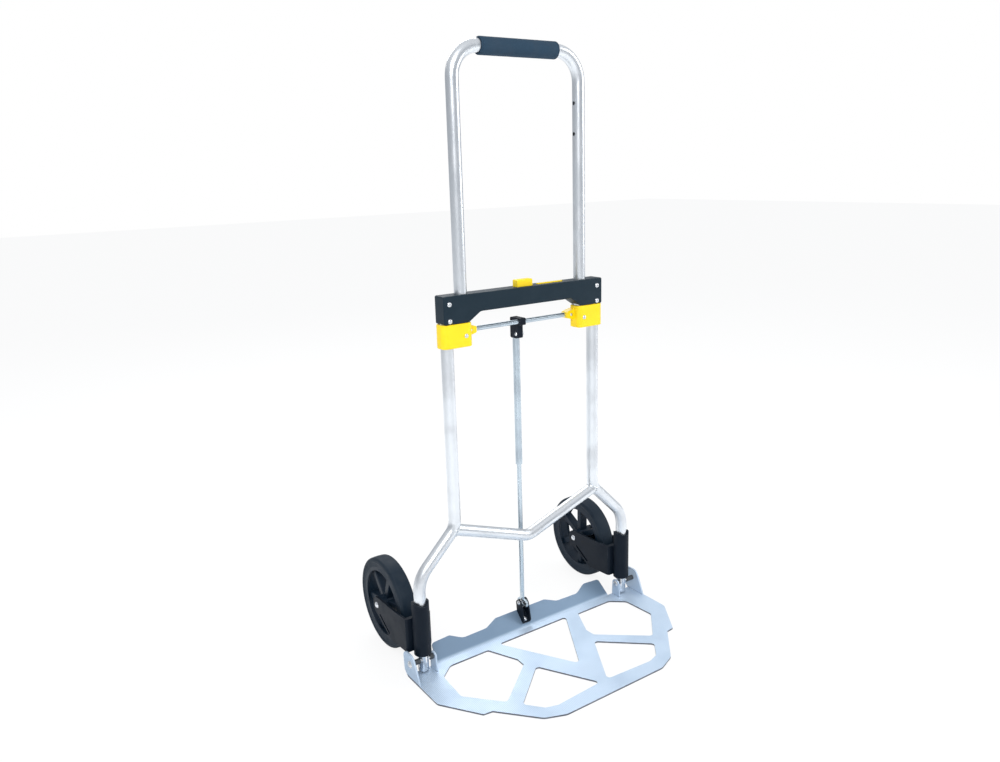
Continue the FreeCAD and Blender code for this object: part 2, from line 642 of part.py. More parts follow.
def strut_clamp():
    """The black clamp that hangs the strut tube from the cross rod."""
    front = CROSS_ROD_Y - CROSS_ROD_R - CLAMP_WALL
    back = STRUT_Y + STRUT_TUBE_OD / 2 + CLAMP_WALL
    neck = CROSS_ROD_Y + CROSS_ROD_R - 1.0
    shoulder = CROSS_ROD_Z - CROSS_ROD_R - CLAMP_WALL
    outline = [
        (front, CLAMP_TOP, 3.0),
        (back, CLAMP_TOP, 3.0),
        (back, CLAMP_BOTTOM, 3.0),
        (neck, CLAMP_BOTTOM, 3.0),
        (neck, shoulder, 2.0),
        (front, shoulder, 3.0),
    ]
    face = rounded_face(outline, lambda u, v: Vector(-CLAMP_HALF - 1.0, u, v))
    clamp = face.extrude(Vector(2 * CLAMP_HALF + 2.0, 0, 0))
    ends = (-CLAMP_HALF - 2.0, CLAMP_HALF + 2.0)
    clamp = clamp.cut(rod_x(CROSS_ROD_R + FIT, ends, CROSS_ROD_Y, CROSS_ROD_Z))
    clamp = clamp.cut(rod_x(CLAMP_SCREW_R + FIT, ends, CLAMP_SCREW_Y, CLAMP_SCREW_Z))
    clamp = clamp.cut(rod_z(STRUT_TUBE_OD / 2 + FIT, 0, STRUT_Y, (CLAMP_BOTTOM, STRUT_TUBE_TOP)))
    return clamp.cut(rod_z(STRUT_ROD_R + RUN, 0, STRUT_Y, (CLAMP_BOTTOM, CLAMP_TOP)))


def clamp_screw():
    """The cross screw of the clamp, with its head and its nut."""
    half = CLAMP_HALF + 1.0
    shank = rod_x(CLAMP_SCREW_R, (-half, half + 2.4), CLAMP_SCREW_Y, CLAMP_SCREW_Z)
    head = dome(3.4, 2.2, Vector(-half, CLAMP_SCREW_Y, CLAMP_SCREW_Z), Vector(-1, 0, 0))
    hexagon = Part.makePolygon([
        Vector(half, CLAMP_SCREW_Y + 3.4 * math.cos(math.radians(angle)),
               CLAMP_SCREW_Z + 3.4 * math.sin(math.radians(angle)))
        for angle in range(0, 361, 60)])
    nut = Part.Face(hexagon).extrude(Vector(2.4, 0, 0))
    return shank.fuse(head).fuse(nut)


def strut_tube():
    """The outer tube of the telescopic strut."""
    z = (STRUT_TUBE_BOTTOM, STRUT_TUBE_TOP)
    tube = rod_z(STRUT_TUBE_OD / 2, 0, STRUT_Y, z)
    return tube.cut(rod_z(STRUT_TUBE_OD / 2 - STRUT_TUBE_WALL, 0, STRUT_Y, z))


def strut_bush():
    """The bush in the lower end of the strut tube, which guides the rod."""
    z = (STRUT_TUBE_BOTTOM, STRUT_TUBE_BOTTOM + STRUT_BUSH_LENGTH)
    bush = rod_z(STRUT_TUBE_OD / 2 - STRUT_TUBE_WALL, 0, STRUT_Y, z)
    return bush.cut(rod_z(STRUT_ROD_R + FIT, 0, STRUT_Y, z))


def eye_slab(length, height, half_thickness):
    """A flat slab with round ends, which lies across the foot of the strut rod."""
    z = CLEVIS_PIN_Z - EYE_DROP
    run = (length - height) / 2
    ends = (-half_thickness, half_thickness)
    middle = STRUT_Y - EYE_FORWARD
    slab = box(ends, (middle - run, middle + run), (z - height / 2, z + height / 2))
    for way in (-1, 1):
        slab = slab.fuse(rod_x(height / 2, ends, middle + way * run, z))
    return slab.removeSplitter()


def strut_rod():
    """The rod of the strut, flattened to a slotted eye round the clevis pin."""
    rod = rod_z(STRUT_ROD_R, 0, STRUT_Y, (STRUT_TANG_TOP, STRUT_ROD_TOP))
    tang_z = (CLEVIS_PIN_Z + EYE_HEIGHT / 2 - EYE_DROP - 1.0, STRUT_TANG_TOP + 2.0)
    tang = box(
        (-EYE_HALF_THICKNESS, EYE_HALF_THICKNESS),
        (STRUT_Y - STRUT_ROD_R, STRUT_Y + STRUT_ROD_R), tang_z)
    rod = rod.fuse(tang.common(rod_z(STRUT_ROD_R, 0, STRUT_Y, tang_z)))
    eye = eye_slab(EYE_SLOT_LENGTH + 6.0, EYE_HEIGHT, EYE_HALF_THICKNESS)
    slot = eye_slab(EYE_SLOT_LENGTH, EYE_SLOT_HEIGHT, EYE_HALF_THICKNESS + 1.0)
    return rod.fuse(eye).removeSplitter().cut(slot)


# ---------------------------------------------------------------- toe plate
def plate_outline():
    """The outer outline of the toe plate, seen from above."""
    half = [
        (110.0, -PLATE_FRONT, 24.0),
        (147.0, -PLATE_FRONT + 15.0, 20.0),
        (205.0, -PLATE_FRONT + 81.0, 3.0),
        (222.0, -PLATE_FRONT + 83.0, 3.0),
        (PLATE_HALF, -PLATE_FRONT + 153.0, 16.0),
        (PLATE_HALF, PLATE_BACK, 0),
    ]
    return mirrored(half)


def plate_windows():
    """The five windows that leave the plate as a border and a set of ribs."""
    rear = [
        (110.0, -15.0, 5.0), (193.0, -15.0, 16.0), (221.0, -38.0, 12.0), (226.0, -105.0, 10.0),
        (171.0, -166.0, 7.0), (84.0, -94.0, 5.0), (83.0, -73.0, 8.0),
    ]
    front = [
        (69.0, -112.0, 7.0), (154.0, -187.0, 6.0), (129.0, -217.0, 10.0), (107.0, -224.0, 10.0),
        (8.0, -218.0, 6.0),
    ]
    middle = [(-82.0, -10.0, 5.0), (82.0, -10.0, 5.0), (0.0, -152.0, 6.0)]
    outlines = [middle]
    for _, side in SIDES:
        outlines.append([(side * u, v, radius) for u, v, radius in rear])
        outlines.append([(side * u, v, radius) for u, v, radius in front])
    cuts = [rounded_face(outline, lambda u, v: Vector(u, v, -1.0)).extrude(
        Vector(0, 0, PLATE_THICKNESS + 2.0)) for outline in outlines]
    return cuts


def flange_place(x, s, h):
    """A point on the rear flange: s along it from the bend, h off its upper face."""
    return Vector(
        x,
        PLATE_BACK + s * math.cos(SLOPE) - h * math.sin(SLOPE),
        PLATE_THICKNESS + s * math.sin(SLOPE) + h * math.cos(SLOPE))


def rear_flange():
    """The flange along the back of the plate, scalloped where the wheels pass."""
    miter = PLATE_THICKNESS * math.tan(SLOPE / 2)
    section = [
        Vector(-FLANGE_HALF, PLATE_BACK - 12.0, 0),
        Vector(-FLANGE_HALF, PLATE_BACK - 12.0, PLATE_THICKNESS),
        Vector(-FLANGE_HALF, PLATE_BACK, PLATE_THICKNESS),
        flange_place(-FLANGE_HALF, FLANGE_LENGTH + 1.0, 0),
        flange_place(-FLANGE_HALF, FLANGE_LENGTH + 1.0, -PLATE_THICKNESS),
        Vector(-FLANGE_HALF, PLATE_BACK + miter, 0),
        Vector(-FLANGE_HALF, PLATE_BACK - 12.0, 0),
    ]
    flange = Part.Face(Part.makePolygon(section)).extrude(Vector(2 * FLANGE_HALF, 0, 0))
    upper_bend = (PLATE_BACK, PLATE_THICKNESS, 4.0)
    lower_bend = (PLATE_BACK + miter, 0.0, 4.0 + PLATE_THICKNESS)
    for y, z, radius in (upper_bend, lower_bend):
        flange = rounded_edges(
            flange, radius, lambda edge: on_plane(edge, "Y", y) and on_plane(edge, "Z", z)
            and edge.BoundBox.XLength > FLANGE_HALF)
    beyond = FLANGE_LENGTH + 20.0
    half = [
        (60.0, FLANGE_LENGTH - 1.0, 10.0),
        (86.0, FLANGE_LENGTH - 12.5, 22.0),
        (140.0, FLANGE_LENGTH - 13.5, 26.0),
        (165.0, FLANGE_LENGTH, 10.0),
        (FLANGE_HALF - 4.0, FLANGE_LENGTH - 2.0, 7.0),
        (FLANGE_HALF, 4.0, 0),
        (FLANGE_HALF + 5.0, 4.0, 0),
        (FLANGE_HALF + 5.0, beyond, 0),
    ]
    above = rounded_face(mirrored(half), lambda u, v: flange_place(u, v, -PLATE_THICKNESS - 1.0))
    normal = flange_place(0, 0, 1) - flange_place(0, 0, 0)
    return flange.cut(above.extrude(normal * (PLATE_THICKNESS + 2.0)))


def ear(x, outline):
    """An upright ear of the plate, one plate thickness wide, from x outwards."""
    face = rounded_face(outline, lambda u, v: Vector(x, u, v))
    return face.extrude(Vector(PLATE_THICKNESS, 0, 0))


def hinge_ears(side):
    """The two ears that carry one hinge pin."""
    outer = [
        (PLATE_BACK, 0, 0), (HINGE_Y + 22.0, 10.0, 6.0), (HINGE_Y + 24.5, EAR_TOP - 1.0, 12.0),
        (HINGE_Y - 10.0, EAR_TOP, 14.0), (HINGE_Y - 19.0, EAR_TOP - 16.0, 10.0),
        (HINGE_Y - 34.0, 0, 0),
    ]
    inner = [
        (PLATE_BACK, 0, 0), (HINGE_Y + 9.0, EAR_INNER_TOP, 7.0),
        (HINGE_Y - 9.0, EAR_INNER_TOP, 7.0), (HINGE_Y - 12.0, 0, 0),
    ]
    outer_x = EAR_OUTER if side > 0 else -PLATE_HALF
    inner_x = EAR_INNER if side > 0 else -EAR_INNER - PLATE_THICKNESS
    return ear(outer_x, outer).fuse(ear(inner_x, inner))


def toe_plate():
    """The folding plate with its windows, its rear flange and its hinge ears."""
    face = rounded_face(plate_outline(), lambda u, v: Vector(u, v, 0))
    plate = face.extrude(Vector(0, 0, PLATE_THICKNESS))
    for cut in plate_windows():
        plate = plate.cut(cut)
    plate = plate.fuse(rear_flange())
    for _, side in SIDES:
        plate = plate.fuse(hinge_ears(side))
        ends = (side * (EAR_INNER - 1.0), side * (PLATE_HALF + 1.0))
        plate = plate.cut(rod_x(HINGE_PIN_R + FIT, ends, HINGE_Y, HINGE_Z))
    plate = plate.removeSplitter()
    return plate.cut(clevis_rivet_shank(FIT))


def hinge_pin(side):
    """The pin through a pair of ears and a foot, with a head at each end."""
    inner = side * EAR_INNER
    outer = side * PLATE_HALF
    pin = rod_x(HINGE_PIN_R, (inner, outer), HINGE_Y, HINGE_Z)
    pin = pin.fuse(dome(7.0, 3.4, Vector(outer, HINGE_Y, HINGE_Z), Vector(side, 0, 0)))
    return pin.fuse(dome(6.5, 3.0, Vector(inner, HINGE_Y, HINGE_Z), Vector(-side, 0, 0)))


def hinge_spacers():
    """Four tubes that keep the feet in the middle between their ears."""
    spacers = []
    for _, side in SIDES:
        foot_inner = LEG_HALF - FOOT_R - RUN
        foot_outer = LEG_HALF + FOOT_R + RUN
        for ends in ((EAR_INNER + PLATE_THICKNESS, foot_inner), (foot_outer, EAR_OUTER)):
            x = (side * ends[0], side * ends[1])
            ring = rod_x(HINGE_PIN_R + 2.0, x, HINGE_Y, HINGE_Z)
            spacers.append(ring.cut(rod_x(HINGE_PIN_R + FIT, x, HINGE_Y, HINGE_Z)))
    return Part.makeCompound(spacers)


# ---------------------------------------------------------------- strut clevis
def on_flange(shape):
    """A piece drawn flat, with Y along the flange and Z off its face, put in place."""
    turned = shape.copy()
    turned.Placement = FreeCAD.Placement(
        flange_place(0, 0, 0), FreeCAD.Rotation(Vector(1, 0, 0), FLANGE_ANGLE))
    return turned


def clevis_rivet_shank(room):
    """The straight part of the rivet that holds the clevis, with room round it."""
    return on_flange(rod_z(RIVET_R + room, 0, CLEVIS_RIVET_S, (-PLATE_THICKNESS, CLEVIS_WEB)))


def strut_clevis():
    """The black channel on the flange that the strut pushes and pulls."""
    end = CLEVIS_PIN_S + CLEVIS_ROUND
    top = CLEVIS_PIN_H + CLEVIS_ROUND
    web_end = FLANGE_LENGTH - 3.0
    outline = [
        (CLEVIS_START, 0, 0), (CLEVIS_START + 2.0, 7.0, 4.0),
        (CLEVIS_PIN_S - CLEVIS_ROUND, top, CLEVIS_ROUND - 0.5), (end, top, CLEVIS_ROUND - 0.5),
        (end, CLEVIS_PIN_H - CLEVIS_ROUND, 4.0), (web_end, 0, 0),
    ]
    face = rounded_face(outline, lambda u, v: Vector(-CLEVIS_HALF, u, v))
    clevis = face.extrude(Vector(2 * CLEVIS_HALF, 0, 0))
    room = CLEVIS_HALF - CLEVIS_WALL
    clevis = clevis.cut(box((-room, room), (0, end + 1.0), (CLEVIS_WEB, top + 1.0)))
    clevis = clevis.fuse(box(
        (-CLEVIS_HALF, CLEVIS_HALF), (CLEVIS_START, web_end), (0, CLEVIS_WEB)))
    pin = rod_x(CLEVIS_PIN_R + FIT, (-CLEVIS_HALF - 1, CLEVIS_HALF + 1), CLEVIS_PIN_S, CLEVIS_PIN_H)
    clevis = on_flange(clevis.cut(pin).removeSplitter())
    return clevis.cut(clevis_rivet_shank(FIT))


def clevis_pin():
    """The pin through the arms of the clevis."""
    half = CLEVIS_HALF
    pin = rod_x(CLEVIS_PIN_R, (-half, half), CLEVIS_PIN_S, CLEVIS_PIN_H)
    for side in (-1, 1):
        base = Vector(side * half, CLEVIS_PIN_S, CLEVIS_PIN_H)
        pin = pin.fuse(dome(4.6, 2.2, base, Vector(side, 0, 0)))
    return on_flange(pin)


def clevis_rivet():
    """The rivet that holds the clevis on the flange."""
    rivet = rod_z(RIVET_R, 0, CLEVIS_RIVET_S, (-PLATE_THICKNESS, CLEVIS_WEB))
    top = Vector(0, CLEVIS_RIVET_S, CLEVIS_WEB)
    bottom = Vector(0, CLEVIS_RIVET_S, -PLATE_THICKNESS)
    rivet = rivet.fuse(dome(RIVET_HEAD_R, HEAD_HEIGHT, top, Vector(0, 0, 1)))
    rivet = rivet.fuse(dome(RIVET_HEAD_R, 1.6, bottom, Vector(0, 0, -1)))
    return on_flange(rivet)


# ---------------------------------------------------------------- wheel brackets
def fork_arm(inner_x):
    """One arm of a fork, drawn in its own place, one arm thickness wide."""
    hub_y = WHEEL_TRAIL
    outline = [
        (FORK_FRONT, ARM_BOTTOM, 4.0),
        (72.0, ARM_BOTTOM - 4.0, 10.0),
        (hub_y + HUB_END_R - 2.0, WHEEL_R - HUB_END_R + 2.0, 12.0),
        (hub_y + HUB_END_R, WHEEL_R + HUB_END_R, 14.0),
        (hub_y - 10.0, WHEEL_R + HUB_END_R + 2.0, 10.0),
        (58.0, ARM_TOP - 3.0, 60.0),
        (FORK_FRONT, ARM_TOP, 0),
    ]
    face = rounded_face(outline, lambda u, v: Vector(inner_x, u, v))
    arm = face.extrude(Vector(ARM_THICKNESS, 0, 0))
    return arm.cut(arm_slot(inner_x))


def arm_slot(inner_x):
    """The long slot near the lower edge of an arm."""
    start = Vector(inner_x - 1.0, WHEEL_TRAIL - 12.0, WHEEL_R - 16.0)
    end = Vector(inner_x - 1.0, 80.0, ARM_BOTTOM + 7.0)
    along = (end - start).normalize()
    across = Vector(0, -along.z, along.y) * ARM_SLOT_R
    wide = Vector(ARM_THICKNESS + 2.0, 0, 0)
    strip = Part.Face(Part.makePolygon([
        start + across, end + across, end - across, start - across, start + across]))
    slot = strip.extrude(wide)
    for point in (start, end):
        slot = slot.fuse(Part.makeCylinder(ARM_SLOT_R, wide.x, point, Vector(1, 0, 0)))
    return slot


def wheel_bracket(side):
    """A fork bracket: a sleeve that turns on the leg, a web and two arms."""
    x = side * LEG_HALF
    tall = (SLEEVE_BOTTOM + RUN, SLEEVE_TOP + SLEEVE_HORN)
    sleeve = rod_z(SLEEVE_R, x, 0, tall)
    web = box(
        (x - ARM_OUTER, x + ARM_OUTER), (FORK_FRONT - 3.0, FORK_FRONT + FORK_WEB),
        (ARM_BOTTOM, ARM_TOP))
    web = rounded_edges(
        web, 5.0,
        lambda edge: edge.BoundBox.ZLength > 20.0 and on_plane(edge, "Y", FORK_FRONT - 3.0))
    bracket = sleeve.fuse(web)
    for inner_x in (x + ARM_INNER, x - ARM_OUTER):
        bracket = bracket.fuse(fork_arm(inner_x))
    saddle_r = SLEEVE_R - 1.0
    saddle = rod_y(saddle_r, x, (-SLEEVE_R - 1.0, SLEEVE_R + 1.0), SLEEVE_TOP + saddle_r)
    bracket = bracket.cut(saddle)
    bracket = bracket.cut(rod_z(TUBE_R + 2 * FIT, x, 0, (0, SLEEVE_TOP + 40.0)))
    ends = (x - ARM_OUTER - 1.0, x + ARM_OUTER + 1.0)
    bracket = bracket.cut(rod_x(AXLE_R + FIT, ends, WHEEL_TRAIL, WHEEL_R))
    return bracket.removeSplitter()


def axle(side):
    """A wheel's axle bolt, with its head and its nut cap."""
    x = side * LEG_HALF
    bolt = rod_x(AXLE_R, (x - ARM_OUTER, x + ARM_OUTER), WHEEL_TRAIL, WHEEL_R)
    for way in (-1, 1):
        base = Vector(x + way * ARM_OUTER, WHEEL_TRAIL, WHEEL_R)
        bolt = bolt.fuse(dome(AXLE_HEAD_R, AXLE_HEAD_HEIGHT, base, Vector(way, 0, 0)))
    return bolt


# ---------------------------------------------------------------- wheels
def wheel_profile(points, x):
    """A ring turned about the axle from a (across, radius, corner radius) outline."""
    face = rounded_face(points, lambda u, v: Vector(x + u, WHEEL_TRAIL, WHEEL_R + v))
    return face.revolve(Vector(x, WHEEL_TRAIL, WHEEL_R), Vector(1, 0, 0), 360)


def tyre(side):
    """The solid rubber tyre, with a crowned tread and a step on each side."""
    half = WHEEL_WIDTH / 2
    outline = [
        (-RIM_WIDTH / 2, TYRE_IR + FIT, 0), (RIM_WIDTH / 2, TYRE_IR + FIT, 0),
        (RIM_WIDTH / 2 + 0.5, WHEEL_R - 10.0, 0), (half, WHEEL_R - 8.5, 1.0),
        (half - 1.0, WHEEL_R - 1.0, 5.0), (0, WHEEL_R, 90.0),
        (-half + 1.0, WHEEL_R - 1.0, 5.0), (-half, WHEEL_R - 8.5, 1.0),
        (-RIM_WIDTH / 2 - 0.5, WHEEL_R - 10.0, 0),
    ]
    return wheel_profile(outline, side * LEG_HALF)


def rim(side):
    """The moulded wheel: a ring, spokes and a hub with a bore for its bushes."""
    x = side * LEG_HALF
    half = RIM_WIDTH / 2
    ring_ir = TYRE_IR - RIM_RING
    ring = wheel_profile([
        (-half, ring_ir, 1.0), (-half, TYRE_IR, 0), (half, TYRE_IR, 0), (half, ring_ir, 1.0),
        (half - 5.0, ring_ir + 3.0, 2.0), (-half + 5.0, ring_ir + 3.0, 2.0)], x)
    hub_half = ARM_INNER - 1.0
    wheel = ring.fuse(rod_x(HUB_R, (x - hub_half, x + hub_half), WHEEL_TRAIL, WHEEL_R))
    for index in range(SPOKE_COUNT):
        wheel = wheel.fuse(spoke(x, 360.0 * index / SPOKE_COUNT + SPOKE_TURN[side]))
    bore = rod_x(
        AXLE_R + BUSH_WALL + 2 * FIT, (x - ARM_GAP, x + ARM_GAP), WHEEL_TRAIL, WHEEL_R)
    return wheel.cut(bore).removeSplitter()


def spoke(x, angle):
    """One spoke, turned about the axle by angle from upright."""
    half = SPOKE_WIDTH / 2
    inner = HUB_R - 4.0
    outer = TYRE_IR - RIM_RING + 4.0
    bar = box(
        (x - SPOKE_DEPTH / 2, x + SPOKE_DEPTH / 2),
        (WHEEL_TRAIL - half, WHEEL_TRAIL + half), (WHEEL_R + inner, WHEEL_R + outer))
    bar = rounded_edges(bar, 2.0, lambda edge: edge.BoundBox.ZLength > 10.0)
    bar.rotate(Vector(x, WHEEL_TRAIL, WHEEL_R), Vector(1, 0, 0), angle)
    return bar


def wheel_bushes(side):
    """The two flanged bushes pressed into a hub."""
    x = side * LEG_HALF
    bushes = []
    for way in (-1, 1):
        outer = x + way * (ARM_INNER - RUN)
        face = x + way * (ARM_INNER - 1.0)
        bush = rod_x(AXLE_R + BUSH_WALL, (face - way * 14.0, outer), WHEEL_TRAIL, WHEEL_R)
        bush = bush.fuse(rod_x(AXLE_R + BUSH_WALL + 3.0, (face, outer), WHEEL_TRAIL, WHEEL_R))
        bushes.append(bush.cut(rod_x(
            AXLE_R + FIT, (face - way * 15.0, outer + way), WHEEL_TRAIL, WHEEL_R)))
    return Part.makeCompound(bushes)


# ---------------------------------------------------------------- saving
def save(name, shape):
    """Write one piece to its file, shifted to the origin of the part."""
    os.makedirs("parts", exist_ok=True)
    placed = shape.copy()
    placed.translate(Vector(0, -ORIGIN_Y, 0))
    placed.exportStep("parts/" + name + ".step")
    valid = "valid" if placed.isValid() else "NOT VALID"
    print(name, valid, len(placed.Solids), "solids", round(placed.Volume / 1000, 2), "cm3")


def build():
    """Make every piece."""
    save("lower_cross_tube", lower_cross_tube())
    save("housing_front", housing_shell(False))
    save("housing_back", housing_shell(True))
    save("housing_rivets", housing_rivets())
    save("release_button", release_button())
    save("latch_bar", latch_bar())
    save("button_spring", button_spring())
    save("handle_tube", handle_tube())
    save("foam_grip", foam_grip())
    save("slider_screws", slider_screws())
    save("lug_rivets", lug_rivets())
    save("cross_rod", cross_rod())
    save("strut_clamp", strut_clamp())
    save("clamp_screw", clamp_screw())
    save("strut_tube", strut_tube())
    save("strut_bush", strut_bush())
    save("strut_rod", strut_rod())
    save("toe_plate", toe_plate())
    save("hinge_spacers", hinge_spacers())
    save("strut_clevis", strut_clevis())
    save("clevis_pin", clevis_pin())
    save("clevis_rivet", clevis_rivet())
    for name, side in SIDES:
        save("lower_tube_" + name, lower_tube(side))
        save("leg_foot_" + name, leg_foot(side))
        save("guide_bush_" + name, guide_bush(side))
        save("lock_pin_" + name, lock_pin(side))
        save("lock_spring_" + name, lock_spring(side))
        save("slider_" + name, slider(side))
        save("hinge_pin_" + name, hinge_pin(side))
        save("wheel_bracket_" + name, wheel_bracket(side))
        save("axle_" + name, axle(side))
        save("tyre_" + name, tyre(side))
        save("rim_" + name, rim(side))
        save("wheel_bushes_" + name, wheel_bushes(side))


build()
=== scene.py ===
import logging
import math
from collections.abc import Callable, Iterable
from dataclasses import dataclass
from enum import Enum

import bmesh
import bpy
from mathutils import Matrix, Vector, noise
from mathutils.bvhtree import BVHTree


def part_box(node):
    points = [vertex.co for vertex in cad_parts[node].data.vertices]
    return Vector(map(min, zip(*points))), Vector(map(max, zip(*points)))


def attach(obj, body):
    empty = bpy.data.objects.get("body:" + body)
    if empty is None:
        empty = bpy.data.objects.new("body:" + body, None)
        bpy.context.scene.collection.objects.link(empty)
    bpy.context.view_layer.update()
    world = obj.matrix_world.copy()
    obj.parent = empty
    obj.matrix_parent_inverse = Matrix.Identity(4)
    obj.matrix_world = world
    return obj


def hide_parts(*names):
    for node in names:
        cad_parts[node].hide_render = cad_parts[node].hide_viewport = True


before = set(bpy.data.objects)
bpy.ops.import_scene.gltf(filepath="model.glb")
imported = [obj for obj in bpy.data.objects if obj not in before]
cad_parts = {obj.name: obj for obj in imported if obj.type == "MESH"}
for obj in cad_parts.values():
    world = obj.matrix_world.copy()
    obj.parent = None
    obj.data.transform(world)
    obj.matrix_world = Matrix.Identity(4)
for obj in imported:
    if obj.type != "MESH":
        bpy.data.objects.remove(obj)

# The looks of a folding hand truck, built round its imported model. Lengths are in
# metres: X to the right seen from the front, Y to the back, Z up from the floor.

log = logging.getLogger("folding_hand_truck")
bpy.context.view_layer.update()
MM = 0.001

Colour = tuple[float, float, float]
Socket = bpy.types.NodeSocket
Mesh = bpy.types.Object


class Side(Enum):
    """A side of the truck, with its sign along X."""

    LEFT = -1
    RIGHT = 1

    @property
    def word(self) -> str:
        """The word that ends the names of this side's pieces."""
        return self.name.lower()


# ---------------------------------------------------------------- node graphs
class Graph:
    """A node tree, with short ways to add nodes and join them."""

    def __init__(self, tree: bpy.types.NodeTree) -> None:
        """Wrap one node tree.

        Args:
            tree: the tree that the nodes go in.
        """
        self.tree = tree

    def add(self, kind: str, inputs: dict | None = None, **settings: object) -> bpy.types.Node:
        """Add a node.

        Args:
            kind: the node's type.
            inputs: a value or a socket for each named or numbered input.
            settings: the node's own options.

        Returns:
            The new node.
        """
        node = self.tree.nodes.new(kind)
        for name, value in settings.items():
            setattr(node, name, value)
        for key, value in (inputs or {}).items():
            self.feed(node.inputs[key], value)
        return node

    def feed(self, socket: Socket, value: object) -> None:
        """Join a socket to another, or set it to a fixed value.

        Args:
            socket: the input.
            value: an output socket, or a plain value.
        """
        if isinstance(value, bpy.types.NodeSocket):
            self.tree.links.new(value, socket)
        else:
            socket.default_value = value

    def math(self, operation: str, first: object, second: object = 0.0) -> Socket:
        """One arithmetic step.

        Args:
            operation: its name, such as MULTIPLY.
            first: a socket or a number.
            second: a socket or a number.

        Returns:
            The result, held between 0 and 1 for ADD and SUBTRACT.
        """
        clamp = operation in ("ADD", "SUBTRACT")
        node = self.add(
            "ShaderNodeMath", {0: first, 1: second}, operation=operation, use_clamp=clamp)
        return node.outputs[0]

    def band(self, value: Socket, low: float, high: float) -> Socket:
        """Stretch the band from low to high over 0 to 1, with soft ends.

        Args:
            value: the number to map.
            low: what becomes 0.
            high: what becomes 1.

        Returns:
            The mapped number.
        """
        node = self.add(
            "ShaderNodeMapRange", {0: value, 1: low, 2: high}, interpolation_type="SMOOTHSTEP")
        return node.outputs[0]

    def blend(self, mask: Socket, plain: object, changed: object) -> Socket:
        """A colour that turns from plain to changed as the mask rises.

        Args:
            mask: from 0 to 1.
            plain: a colour or a socket where the mask is 0.
            changed: a colour or a socket where it is 1.

        Returns:
            The blended colour.
        """
        node = self.add("ShaderNodeMix", {0: mask, 6: solid(plain), 7: solid(changed)},
                        data_type="RGBA")
        return node.outputs[2]

    def noise(self, place: Socket, scale: object, detail: float = 4.0) -> Socket:
        """A noise value.

        Args:
            place: the coordinates.
            scale: how fine it is, in waves per metre.
            detail: how many finer layers it has.

        Returns:
            The noise, from 0 to 1.
        """
        node = self.add("ShaderNodeTexNoise", {"Vector": place, "Scale": scale, "Detail": detail})
        return node.outputs[0]


def solid(colour: object) -> object:
    """A colour with its alpha; a socket or a full colour passes unchanged."""
    if isinstance(colour, tuple) and len(colour) == 3:
        return (*colour, 1.0)
    return colour


class Effect(Enum):
    """The surface effects that several finishes share."""

    WORN_EDGES = "worn_edges"
    HANDLING_MARKS = "handling_marks"
    DRAWN_LINES = "drawn_lines"
    MOULDED_GRAIN = "moulded_grain"
    SHEET_RIBS = "sheet_ribs"
    FOAM_CELLS = "foam_cells"


